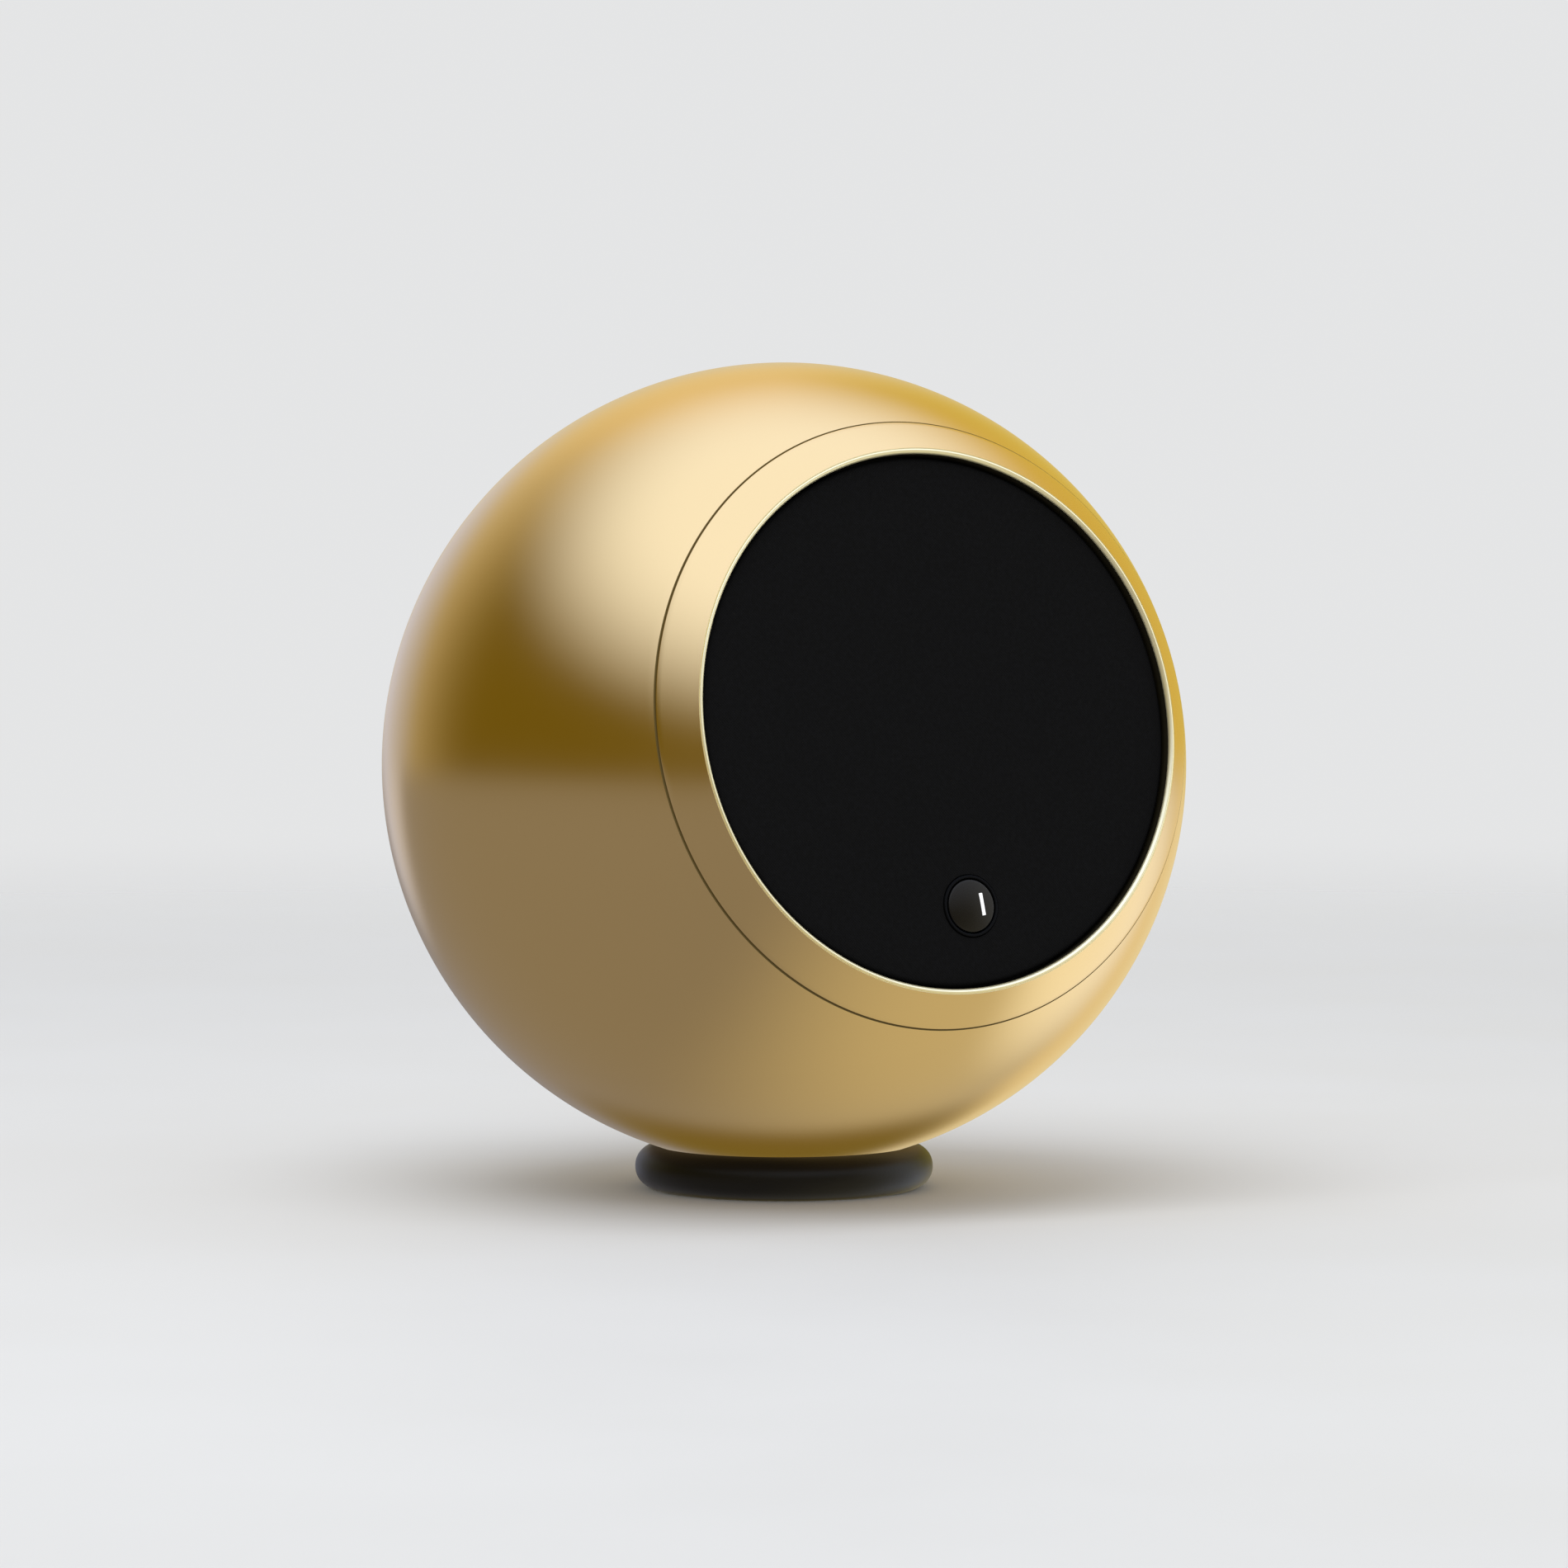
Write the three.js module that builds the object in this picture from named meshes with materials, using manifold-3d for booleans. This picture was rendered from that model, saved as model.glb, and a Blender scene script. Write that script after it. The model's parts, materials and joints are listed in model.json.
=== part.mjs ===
// Smart speaker: a gold ball held in a black ring foot, with a cloth front, one loudspeaker driver,
// a front button, and a rear panel with a power inlet and a pairing button.
// Millimetres, +Z up. The origin is the centre of the foot's underside, and the ball faces -Y.
// Inside the ball, local +Y is the way the driver faces, +X is the viewer's right and +Z is down.

import * as THREE from 'three';
import { mergeVertices } from 'three/addons/utils/BufferGeometryUtils.js';
import Module from 'manifold-3d';

const wasm = await Module();
wasm.setup();

// ---- Clearances ----
const GAP = 0.3; // between pieces that touch
const FINE_GAP = 0.15; // between small pieces that fit into each other
const CUT_PAST = 1.0; // how far a cutting shape runs past what it cuts

// ---- Ball shell ----
const BALL_RADIUS = 63.5;
const BALL_WALL = 2.0;
const BALL_TILT = 10; // degrees that the front looks up at rest
const MOUTH_RADIUS = 43.0; // inside of the cup that is turned into the front opening
const MOUTH_DEPTH = 12.0; // from the front edge down to the driver's seat
const MOUTH_WALL = 1.8;
const DRIVER_SEAT_WIDTH = 6.8;
const DRIVER_SEAT_THICKNESS = 1.8;
const REAR_OPENING_RADIUS = 20.3;
const REAR_LANDING_DEPTH = 2.0;
const REAR_LANDING_WIDTH = 6.8;
const REAR_LANDING_THICKNESS = 1.6;

// ---- Front bezel and grille ----
const FRONT_CLOCK = 5.8; // degrees that the bezel, grille and button are turned in the mouth
const BEZEL_PROUD = 0.86; // how far the bezel stands out of the ball's surface
const SPIGOT_CLEARANCE = 0.4;
const SPIGOT_WALL = 1.7;
const SPIGOT_LENGTH = 5.7;
const LIP_WIDTH = 1.04;
const LIP_DROP = 0.35;
const GRILLE_RECESS = 0.77; // cloth face below the lip's inner edge
const CLOTH_THICKNESS = 0.5;
const GRILLE_CLEARANCE = 0.4;
const GRILLE_PLATE = 1.7;
const GRILLE_LEDGE_WIDTH = 2.0;
const GRILLE_LEDGE_THICKNESS = 0.9;
const GRILLE_HOLE_RADIUS = 3.4;
const GRILLE_HOLE_PITCH = 9.2;
const GRILLE_RIM = 3.2;
const MIC_SIZE = [3.5, 2.6];
const MIC_HEIGHT = 1.0;
const MIC_INSET = 6.5; // from the plate's edge

// ---- Front button ----
const BUTTON_RADIUS = 4.0;
const BUTTON_OFFSET = 28.5; // from the grille's centre
const BUTTON_TRAVEL = 0.7;
const BUTTON_PLATE = 1.25;
const BUTTON_DOME = 0.4;
const BUTTON_STANDOFF = 0.25; // of the cap's edge over the cloth
const BUTTON_SHADOW_GAP = 0.25;
const STEM_RADIUS = 1.0;
const COLLAR_WALL = 0.45;
const COLLAR_FLANGE = 1.5;
const LIGHT_WIDTH = 0.55;
const LIGHT_LENGTH = 3.4;
const LIGHT_OFFSET = 1.8; // from the cap's middle
const SWITCH_SIZE = 3.4;
const SWITCH_HEIGHT = 1.0;
const SWITCH_SETBACK = 0.2; // behind the grille plate
const LED_SIZE = [1.4, 0.8];
const LED_HEIGHT = 0.6;
const LED_OFFSET = 2.9;
const BOARD_THICKNESS = 0.8;
const RIBBON_WIDTH = 6.0;
const RIBBON_THICKNESS = 0.4;
const RIBBON_BEND = 2.6;
const RIBBON_SLOT = 2.0; // height of the slot that lets the ribbon through the cup
const RIBBON_INSET = 1.4; // from the mouth to the ribbon's middle

// ---- Driver ----
const BASKET_PLATE = 1.4;
const BASKET_WALL = 1.5;
const BASKET_FLOOR_RADIUS = 24.0;
const BASKET_DEPTH = 23.8; // from the flange's front to the back of the floor
const BASKET_SHOULDER = 2.2; // from the flange's back to the start of the slope
const BASKET_WINDOW = 16.0;
const BASKET_LEDGE = 3.0; // width of the ledge that the spider is glued to
const LEDGE_RISE = 2.3; // of that ledge over the floor
const DRIVER_GASKET = 0.6;
const DRIVER_SCREW_RADIUS = 1.1;
const DRIVER_SCREW_INSET = 2.0; // from the flange's edge
const DRIVER_SCREW_LENGTH = 6.5;
const DRIVER_SCREW_HEAD = [1.9, 1.1]; // radius and height
const COIL_RADIUS = 10.1;
const COIL_WALL = 0.6;
const COIL_LENGTH = 14.5;
const COIL_CLEARANCE = 0.6; // to the pole and the pole plate
const COIL_TO_FLOOR = 0.8;
const FORMER_CLEARANCE = 0.5; // from the coil to the cone's neck and the spider
const NECK_RISE = 7.5; // of the cone's neck over the floor
const GLUE_WIDTH = 1.4; // of the surround on the cone's edge
const DUST_CAP_OVERLAP = 2.2;
const DUST_CAP_RISE = 3.0;
const DUST_CAP_DOME = 3.4;
const CONE_CURVE = 1.15; // 1 is a straight cone, more is a flared one
const SPIDER_RIPPLE = 0.5;
const SURROUND_ROLL = 2.3;
const SHEET = 0.5; // cone, surround and spider thickness
const MAGNET_RADIUS = 27.0;
const MAGNET_BORE = 13.0;
const MAGNET_THICKNESS = 14.0;
const POLE_PLATE_THICKNESS = 4.5;
const POLE_VENT = 2.5;
const TERMINAL_WIDTH = 2.5;
const TERMINAL_HEIGHT = 8.0;
const WADDING_WIDTH = 38.0;
const WADDING_THICKNESS = 10.0;
const WADDING_CLEARANCE = 1.6;
const WADDING_SETBACK = 13.0; // behind the driver's seat

// ---- Electronics ----
const MAIN_BOARD_RADIUS = 30.0;
const MAIN_BOARD_THICKNESS = 1.6;
const CHASSIS_POST = 2.4;
const CHASSIS_HEIGHT = 18.0;
const CHASSIS_RING = 2.0;
const CHASSIS_RING_INSET = 0.6; // of the ring's edge from the posts' edge
const SCREW_CIRCLE = 16.0; // rear screws, chassis posts and main board screws
const REAR_SCREW_RADIUS = 0.8;
const REAR_SCREW_LENGTH = 7.5;
const REAR_SCREW_HEAD = [1.6, 0.9]; // radius and height
const SCREW_DRILLING = 6.0;
const BOARD_SCREW_LENGTH = 6.0;
const BOARD_SCREW_HEAD = [1.7, 1.0];
const BOARD_EDGE = 8.0; // from the board's edge to its parts
const SHIELD_SIZE = 21.0;
const SHIELD_HEIGHT = 3.0;
const CAPACITOR_RADIUS = 4.0;
const CAPACITOR_LENGTH = 9.0;
const CAPACITOR_OFFSET = [5.0, -3.0];
const CHIP_SIZE = 7.0;
const CHIP_HEIGHT = 1.4;
const CHIP_OFFSET = -11.0;
const OUTPUT_COIL_RADIUS = 3.2;
const OUTPUT_COIL_HEIGHT = 4.2;
const OUTPUT_COIL_OFFSETS = [3.5, -3.8];
const POWER_PLUG = [7.0, 4.0];
const POWER_PLUG_HEIGHT = 3.4;
const POWER_PLUG_OFFSET = 7.0;
const SPEAKER_PLUG = 5.0;
const SPEAKER_PLUG_HEIGHT = 3.0;
const SPEAKER_PLUG_OFFSET = 9.0;
const RIBBON_PLUG_DEPTH = 3.0;
const RIBBON_PLUG_HEIGHT = 2.6;
const LEAD_RADIUS = 0.9;

// ---- Rear panel ----
const PANEL_INSET = 0.2; // below the ball's surface
const PANEL_RECESS_RADIUS = 12.0;
const PANEL_RECESS_FLOOR = 1.8;
const PANEL_RECESS_EDGE = 0.5; // how far the recess widens outwards
const SCREW_WELL_RADIUS = 2.0;
const SCREW_WELL_FLOOR = 0.85;
const PAIR_BUTTON_RADIUS = 2.4;
const PAIR_BUTTON_HEIGHT = 5.5; // above the panel's centre
const PAIR_TRAVEL = 0.6;
const PAIR_FLANGE = [1.0, 0.7]; // width and thickness
const PAIR_PROUD = 0.3; // of the recess floor
const PAIR_SWITCH_SIZE = 3.6;
const PAIR_SWITCH_HEIGHT = 2.4;
const INLET_HEIGHT = -4.5;
const INLET_SIZE = [8.94, 3.26];
const INLET_WALL = 0.35;
const INLET_FLOOR = 0.8;
const INLET_TONGUE = 0.7;
const INLET_TONGUE_SETBACK = 0.9;
const INLET_BOARD_RADIUS = 12.5;
const INLET_BOARD_DEPTH = 6.1; // from the panel's inner face to the inlet board
const INLET_BOARD_THICKNESS = 1.2;
const PILLAR_OFFSET = 10.3;
const PILLAR_RADIUS = 1.5;
const PILLAR_PIN_RADIUS = 0.8;
const PILLAR_PIN_PROUD = 0.8;
const ANTENNA_SIZE = [9.0, 2.4, 0.8];
const ANTENNA_OFFSET = 3.0; // above the pairing button
const REAR_GASKET = 0.4;

// ---- Foot ----
const FOOT_RADIUS = 19.6; // to the middle of the ring's section
const FOOT_HALF_WIDTH = 4.0;
const FOOT_HALF_HEIGHT = 3.5;
const FOOT_SQUARENESS = 2.15; // 2 is an ellipse, more is squarer
const FOOT_FLAT = 0.12; // cut off the underside to make it flat
const BALL_SINK = 0.7; // how deep the ball sits in the ring's round top
const SEAT_THICKNESS = 1.2;
const PAD_THICKNESS = 0.9;
const PAD_RADIUS = 18.3;

// ---- Fineness ----
const ROUND = 40; // facets round the large pieces
const INNER_ROUND = 28; // facets round the inner pieces
const SMALL_ROUND = 12; // facets round screws and pins
const BUTTON_ROUND = 24; // facets round buttons and their holes
const SPHERE_STEP = THREE.MathUtils.degToRad(9); // between the rings of a sphere
const FINE_STEP = THREE.MathUtils.degToRad(2);

// ---- Levels along the driver's axis, from the ball's centre, worked out from the sizes above ----
const innerRadius = BALL_RADIUS - BALL_WALL;
const mouthPlane = Math.sqrt(innerRadius ** 2 - MOUTH_RADIUS ** 2);
const driverSeat = mouthPlane - MOUTH_DEPTH;
const driverSeatBore = MOUTH_RADIUS - DRIVER_SEAT_WIDTH;
const rearLanding = REAR_LANDING_DEPTH - Math.sqrt(BALL_RADIUS ** 2 - REAR_OPENING_RADIUS ** 2);
const rearLandingInside = rearLanding + REAR_LANDING_THICKNESS;
const rearLandingBore = REAR_OPENING_RADIUS - REAR_LANDING_WIDTH;
const bezelSphere = BALL_RADIUS + BEZEL_PROUD;
const bezelBore = MOUTH_RADIUS - SPIGOT_CLEARANCE - SPIGOT_WALL;
const bezelRear = mouthPlane + GAP;
const lipOuterLevel = Math.sqrt(bezelSphere ** 2 - (bezelBore + LIP_WIDTH) ** 2);
const clothFace = lipOuterLevel - LIP_DROP - GRILLE_RECESS;
const clothBack = clothFace - CLOTH_THICKNESS;
const grilleFront = clothBack - GAP;
const grilleBack = grilleFront - GRILLE_PLATE;
const ledgeFront = grilleBack - GAP;
const ledgeBack = ledgeFront - GRILLE_LEDGE_THICKNESS;

const waddingOuter = innerRadius - WADDING_CLEARANCE;
const waddingInner = waddingOuter - WADDING_THICKNESS;

// ---- Shared shape tools ----

// A closed mesh with shared corners merged, no empty triangles, and faces turned outward.
function closed(geometry) {
  geometry.deleteAttribute('normal');
  geometry.deleteAttribute('uv');
  const merged = mergeVertices(geometry, 1e-4);
  const index = merged.index.array;
  const place = merged.attributes.position;
  const corners = [new THREE.Vector3(), new THREE.Vector3(), new THREE.Vector3()];
  const kept = [];
  let volume = 0;
  for (let i = 0; i < index.length; i += 3) {
    const [a, b, c] = index.slice(i, i + 3);
    if (a === b || b === c || c === a) {
      continue;
    }
    kept.push(a, b, c);
    [a, b, c].forEach((corner, k) => corners[k].fromBufferAttribute(place, corner));
    volume += corners[0].dot(corners[1].cross(corners[2]));
  }
  merged.setIndex(volume < 0 ? kept.reverse() : kept);
  return merged;
}

function toManifold(geometry) {
  const solid = closed(geometry);
  const vertProperties = new Float32Array(solid.attributes.position.array);
  const triVerts = new Uint32Array(solid.index.array);
  return new wasm.Manifold(new wasm.Mesh({ numProp: 3, vertProperties, triVerts }));
}

function fromManifold(manifold) {
  const mesh = manifold.getMesh();
  const geometry = new THREE.BufferGeometry();
  geometry.setAttribute('position', new THREE.BufferAttribute(new Float32Array(mesh.vertProperties), 3));
  geometry.setIndex(new THREE.BufferAttribute(new Uint32Array(mesh.triVerts), 1));
  return geometry;
}

function cut(geometry, tools) {
  return fromManifold(tools.reduce((body, tool) => body.subtract(toManifold(tool)), toManifold(geometry)));
}

function join(geometry, additions) {
  return fromManifold(additions.reduce((body, more) => body.add(toManifold(more)), toManifold(geometry)));
}

// Turns a closed outline of [radius, level] points about the local Y axis.
function turned(outline, facets = INNER_ROUND) {
  const points = outline.map(([radius, level]) => new THREE.Vector2(radius, level));
  points.push(points[0].clone());
  return closed(new THREE.LatheGeometry(points, facets));
}

function ringOf(inner, outer, back, front, facets = INNER_ROUND) {
  return turned([[inner, back], [outer, back], [outer, front], [inner, front]], facets);
}

// Turns an outline that starts and ends on the axis.
function turnedSolid(outline, facets = INNER_ROUND) {
  return closed(new THREE.LatheGeometry(outline.map(([r, level]) => new THREE.Vector2(r, level)), facets));
}

function rod(radius, back, front, x = 0, z = 0, facets = SMALL_ROUND) {
  const geometry = new THREE.CylinderGeometry(radius, radius, front - back, facets);
  return geometry.translate(x, (back + front) / 2, z);
}

function block(width, height, back, front, x = 0, z = 0) {
  return new THREE.BoxGeometry(width, front - back, height).translate(x, (back + front) / 2, z);
}

// Points of a sphere's section, from one angle off the front axis to another.
function sphereArc(radius, fromAngle, toAngle, step = SPHERE_STEP) {
  const steps = Math.ceil(Math.abs(toAngle - fromAngle) / step);
  return Array.from({ length: steps + 1 }, (_, i) => {
    const angle = fromAngle + ((toAngle - fromAngle) * i) / steps;
    return [radius * Math.sin(angle), radius * Math.cos(angle)];
  });
}

function aroundCircle(count, radius, startDegrees = 0) {
  return Array.from({ length: count }, (_, i) => {
    const angle = THREE.MathUtils.degToRad(startDegrees + (360 * i) / count);
    return [radius * Math.cos(angle), radius * Math.sin(angle)];
  });
}

// A round lead along a smooth route.
function lead(route, radius = LEAD_RADIUS, steps = 14) {
  const path = new THREE.CatmullRomCurve3(route.map(([x, y, z]) => new THREE.Vector3(x, y, z)));
  const section = new THREE.Shape(aroundCircle(8, radius).map(([x, y]) => new THREE.Vector2(x, y)));
  return closed(new THREE.ExtrudeGeometry(section, { steps, extrudePath: path, bevelEnabled: false }));
}

// A flat flexible cable: its side view thickened along a smooth route, then given its width along X.
function ribbon(route, width, thickness, steps = 30) {
  const path = new THREE.SplineCurve(route.map(([z, level]) => new THREE.Vector2(z, level)));
  const sides = [1, -1].map((side) => Array.from({ length: steps + 1 }, (_, i) => {
    const point = path.getPoint(i / steps);
    const tangent = path.getTangent(i / steps);
    return new THREE.Vector2(-tangent.y, tangent.x).multiplyScalar((side * thickness) / 2).add(point);
  }));
  const outline = new THREE.Shape([...sides[0], ...sides[1].reverse()]);
  const geometry = new THREE.ExtrudeGeometry(outline, { depth: width, bevelEnabled: false });
  geometry.translate(0, 0, -width / 2);
  return closed(geometry.rotateY(-Math.PI / 2));
}

// ---- Materials ----
function finish(color, roughness, metalness) {
  return () => new THREE.MeshStandardMaterial({ color, roughness, metalness });
}
const satinGold = finish(0xcfae74, 0.34, 1.0);
const blackRubber = finish(0x171716, 0.6, 0.0);
const blackCloth = finish(0x131313, 0.95, 0.0);
const blackPlastic = finish(0x1c1c1c, 0.45, 0.0);
const greyPlastic = finish(0x3a3a3c, 0.5, 0.0);
const whitePlastic = finish(0xd8d8d4, 0.5, 0.0);
const clearLight = finish(0xf4f6f6, 0.25, 0.0);
const zincSteel = finish(0xb4b6b8, 0.35, 1.0);
const blackSteel = finish(0x2a2a2c, 0.45, 0.9);
const ferrite = finish(0x2c2c2e, 0.7, 0.2);
const paperCone = finish(0x1e1e20, 0.9, 0.0);
const darkFoam = finish(0x202022, 0.95, 0.0);
const wadding = finish(0xe4e2da, 1.0, 0.0);
const greenBoard = finish(0x1f4a33, 0.5, 0.0);
const copper = finish(0xb8703a, 0.35, 1.0);
const spiderCloth = finish(0xc9a45c, 0.9, 0.0);

const named = (name, geometry, material) => {
  const mesh = new THREE.Mesh(geometry, material());
  mesh.name = name;
  return mesh;
};

// ---- Foot: rubber ring, steel weight, grip pad and slip ring ----

const footCentre = FOOT_HALF_HEIGHT - FOOT_FLAT;
const sectionMean = (FOOT_HALF_WIDTH + FOOT_HALF_HEIGHT) / 2;
const ballReach = BALL_RADIUS + sectionMean - BALL_SINK;
const ballHeight = footCentre + Math.sqrt(ballReach ** 2 - FOOT_RADIUS ** 2);
const footBore = FOOT_RADIUS - FOOT_HALF_WIDTH;
const seatInner = footBore + 2 * GAP;
const seatOuter = FOOT_RADIUS - 2 * GAP;
const seatTopSphere = BALL_RADIUS + GAP;
const seatBackSphere = seatTopSphere + SEAT_THICKNESS;

// The ball-shaped hollow that a sphere about the ball's centre leaves at a given radius.
const underSphere = (sphere, radius) => ballHeight - Math.sqrt(sphere ** 2 - radius ** 2);

// The lathe turns about Y, and this stands the piece up along Z.
const stood = (geometry) => geometry.rotateX(Math.PI / 2);

// The ring's rounded section, with its underside cut flat, a room for the grip pad, and a straight bore.
function footSection(steps = 14) {
  const outline = [];
  for (let i = 0; i <= steps; i += 1) {
    const angle = -Math.PI / 2 + (Math.PI * i) / steps;
    const c = Math.abs(Math.cos(angle)) ** (2 / FOOT_SQUARENESS);
    const s = Math.sign(Math.sin(angle)) * Math.abs(Math.sin(angle)) ** (2 / FOOT_SQUARENESS);
    outline.push([FOOT_RADIUS + FOOT_HALF_WIDTH * c, Math.max(0, footCentre + FOOT_HALF_HEIGHT * s)]);
  }
  outline.push([footBore, footCentre + FOOT_HALF_HEIGHT]);
  outline.push([footBore, PAD_THICKNESS + GAP]);
  outline.push([PAD_RADIUS + GAP, PAD_THICKNESS + GAP]);
  outline.push([PAD_RADIUS + GAP, 0]);
  return outline;
}

function footRing() {
  const ringEdge = Math.asin((FOOT_RADIUS + FOOT_HALF_WIDTH) / seatTopSphere);
  const ballArc = sphereArc(seatTopSphere, Math.PI, Math.PI - ringEdge, FINE_STEP);
  const ballRoom = turnedSolid([
    [0, ballHeight - seatTopSphere],
    ...ballArc.slice(1).map(([radius, level]) => [radius, level + ballHeight]),
    [0, ballHeight],
  ], ROUND);
  const inner = footBore - CUT_PAST;
  const outer = seatOuter + GAP;
  const seatFloor = turned([
    [inner, underSphere(seatBackSphere + GAP, inner)],
    [outer, underSphere(seatBackSphere + GAP, outer)],
    [outer, ballHeight],
    [inner, ballHeight],
  ], ROUND);
  return stood(cut(turned(footSection(), ROUND), [ballRoom, seatFloor]));
}

// A steel disc fills the ring below the ball and keeps the speaker from tipping.
function footWeight() {
  const back = PAD_THICKNESS + GAP;
  const front = ballHeight - BALL_RADIUS - 2 * GAP;
  return stood(rod(footBore - GAP, back, front, 0, 0, ROUND));
}

// A grip pad closes the underside.
function footPad() {
  return stood(rod(PAD_RADIUS, 0, PAD_THICKNESS, 0, 0, ROUND));
}

// A low-friction ring that the ball sits and turns on.
function seatRing() {
  const arc = (sphere) => [0, 1, 2].map((i) => {
    const radius = seatInner + ((seatOuter - seatInner) * i) / 2;
    return [radius, underSphere(sphere, radius)];
  });
  return stood(turned([...arc(seatBackSphere), ...arc(seatTopSphere).reverse()], ROUND));
}

// ---- Ball shell: a spun gold ball with a turned-in cup for the driver and a rear landing ----

const rearScrews = aroundCircle(3, SCREW_CIRCLE, 30);
const driverFlange = bezelBore - 2 * GAP;
const driverScrewCircle = driverFlange - DRIVER_SCREW_INSET;
const driverScrews = aroundCircle(4, driverScrewCircle, 45);
const ribbonSlotMiddle = MOUTH_RADIUS - RIBBON_INSET;

function ballShell() {
  const cupOutside = MOUTH_RADIUS + MOUTH_WALL;
  const outside = sphereArc(
    BALL_RADIUS, Math.acos(mouthPlane / BALL_RADIUS), Math.PI - Math.asin(REAR_OPENING_RADIUS / BALL_RADIUS));
  const inside = sphereArc(
    innerRadius, Math.acos(rearLandingInside / innerRadius), Math.asin(cupOutside / innerRadius));
  const shell = turned([
    ...outside,
    [REAR_OPENING_RADIUS, rearLanding],
    [rearLandingBore, rearLanding],
    [rearLandingBore, rearLandingInside],
    ...inside,
    [cupOutside, driverSeat - DRIVER_SEAT_THICKNESS],
    [driverSeatBore, driverSeat - DRIVER_SEAT_THICKNESS],
    [driverSeatBore, driverSeat],
    [MOUTH_RADIUS, driverSeat],
    [MOUTH_RADIUS, mouthPlane],
  ], ROUND);
  const seatBack = driverSeat - DRIVER_SEAT_THICKNESS - CUT_PAST;
  const seatHoles = driverScrews.map(([x, z]) => (
    rod(DRIVER_SCREW_RADIUS + GAP, seatBack, driverSeat + CUT_PAST, x, z)));
  const landingHoles = rearScrews.map(([x, z]) => (
    rod(REAR_SCREW_RADIUS + GAP, rearLanding - CUT_PAST, rearLandingInside + CUT_PAST, x, z)));
  const slotWidth = RIBBON_WIDTH + 3 * GAP;
  const slot = block(slotWidth, RIBBON_SLOT, seatBack, driverSeat + CUT_PAST, 0, ribbonSlotMiddle - GAP);
  slot.rotateY(THREE.MathUtils.degToRad(FRONT_CLOCK));
  return cut(shell, [...seatHoles, ...landingHoles, slot]);
}

// ---- Front bezel: a gold ring standing proud of the ball, with a bright lip and a spigot ----

function frontBezel() {
  const spigotOuter = MOUTH_RADIUS - SPIGOT_CLEARANCE;
  const lipAngle = Math.asin((bezelBore + LIP_WIDTH) / bezelSphere);
  const face = sphereArc(bezelSphere, Math.acos(bezelRear / bezelSphere), lipAngle, FINE_STEP);
  return turned([
    ...face,
    [bezelBore, lipOuterLevel - LIP_DROP],
    [bezelBore, ledgeFront],
    [bezelBore - GRILLE_LEDGE_WIDTH, ledgeFront],
    [bezelBore - GRILLE_LEDGE_WIDTH, ledgeBack],
    [bezelBore, ledgeBack],
    [bezelBore, bezelRear - SPIGOT_LENGTH],
    [spigotOuter, bezelRear - SPIGOT_LENGTH],
    [spigotOuter, bezelRear],
  ], ROUND);
}

// ---- Grille: a perforated plate with black cloth stretched over its face and edge ----

const clothOuter = bezelBore - GRILLE_CLEARANCE;
const grilleRadius = clothOuter - CLOTH_THICKNESS - GAP;
const collarOuter = BUTTON_RADIUS + BUTTON_SHADOW_GAP + COLLAR_WALL;
const buttonHole = collarOuter + GAP;

function buttonOpening() {
  return rod(buttonHole, grilleBack - CUT_PAST, clothFace + CUT_PAST, 0, BUTTON_OFFSET, BUTTON_ROUND);
}

function grilleFrame() {
  const holes = [];
  const rowStep = GRILLE_HOLE_PITCH * Math.sin(Math.PI / 3);
  const rows = Math.floor(grilleRadius / rowStep);
  const clearOfButton = buttonHole + COLLAR_FLANGE + GRILLE_HOLE_RADIUS;
  for (let row = -rows; row <= rows; row += 1) {
    const shift = (Math.abs(row) % 2) * (GRILLE_HOLE_PITCH / 2);
    for (let column = -rows - 1; column <= rows + 1; column += 1) {
      const x = column * GRILLE_HOLE_PITCH + shift;
      const z = row * rowStep;
      const insideRim = Math.hypot(x, z) < grilleRadius - GRILLE_RIM - GRILLE_HOLE_RADIUS;
      if (insideRim && Math.hypot(x, z - BUTTON_OFFSET) > clearOfButton) {
        holes.push(rod(GRILLE_HOLE_RADIUS, grilleBack - CUT_PAST, grilleFront + CUT_PAST, x, z, 6));
      }
    }
  }
  const plate = turnedSolid([[0, grilleBack], [grilleRadius, grilleBack], [grilleRadius, grilleFront],
    [0, grilleFront]], ROUND);
  return cut(plate, [...holes, buttonOpening()]);
}

function grilleCloth() {
  const skirtInner = clothOuter - CLOTH_THICKNESS;
  const cloth = turnedSolid([[0, clothBack], [skirtInner, clothBack], [skirtInner, grilleBack],
    [clothOuter, grilleBack], [clothOuter, clothBack], [clothOuter - GAP, clothFace], [0, clothFace]], ROUND);
  return cut(cloth, [buttonOpening()]);
}

// ---- Front button: collar, domed cap with a light bar, switch, light and board ----

const capEdge = clothFace + BUTTON_STANDOFF;
const capBack = capEdge - BUTTON_PLATE;
const switchFront = grilleBack - SWITCH_SETBACK;
const switchBack = switchFront - SWITCH_HEIGHT;
const stemBack = switchFront + BUTTON_TRAVEL + FINE_GAP;
const collarBack = ledgeBack;
const boardFront = Math.min(switchBack, collarBack) - GAP;
const lightSlot = [LIGHT_WIDTH + 2 * FINE_GAP, LIGHT_LENGTH + 2 * FINE_GAP];

function buttonCollar() {
  const inner = BUTTON_RADIUS + BUTTON_SHADOW_GAP;
  const flangeOuter = collarOuter + COLLAR_FLANGE;
  const collar = turned([[inner, collarBack], [flangeOuter, collarBack], [flangeOuter, ledgeFront],
    [collarOuter, ledgeFront], [collarOuter, capEdge], [inner, capEdge]], BUTTON_ROUND);
  return collar.translate(0, 0, BUTTON_OFFSET);
}

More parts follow.
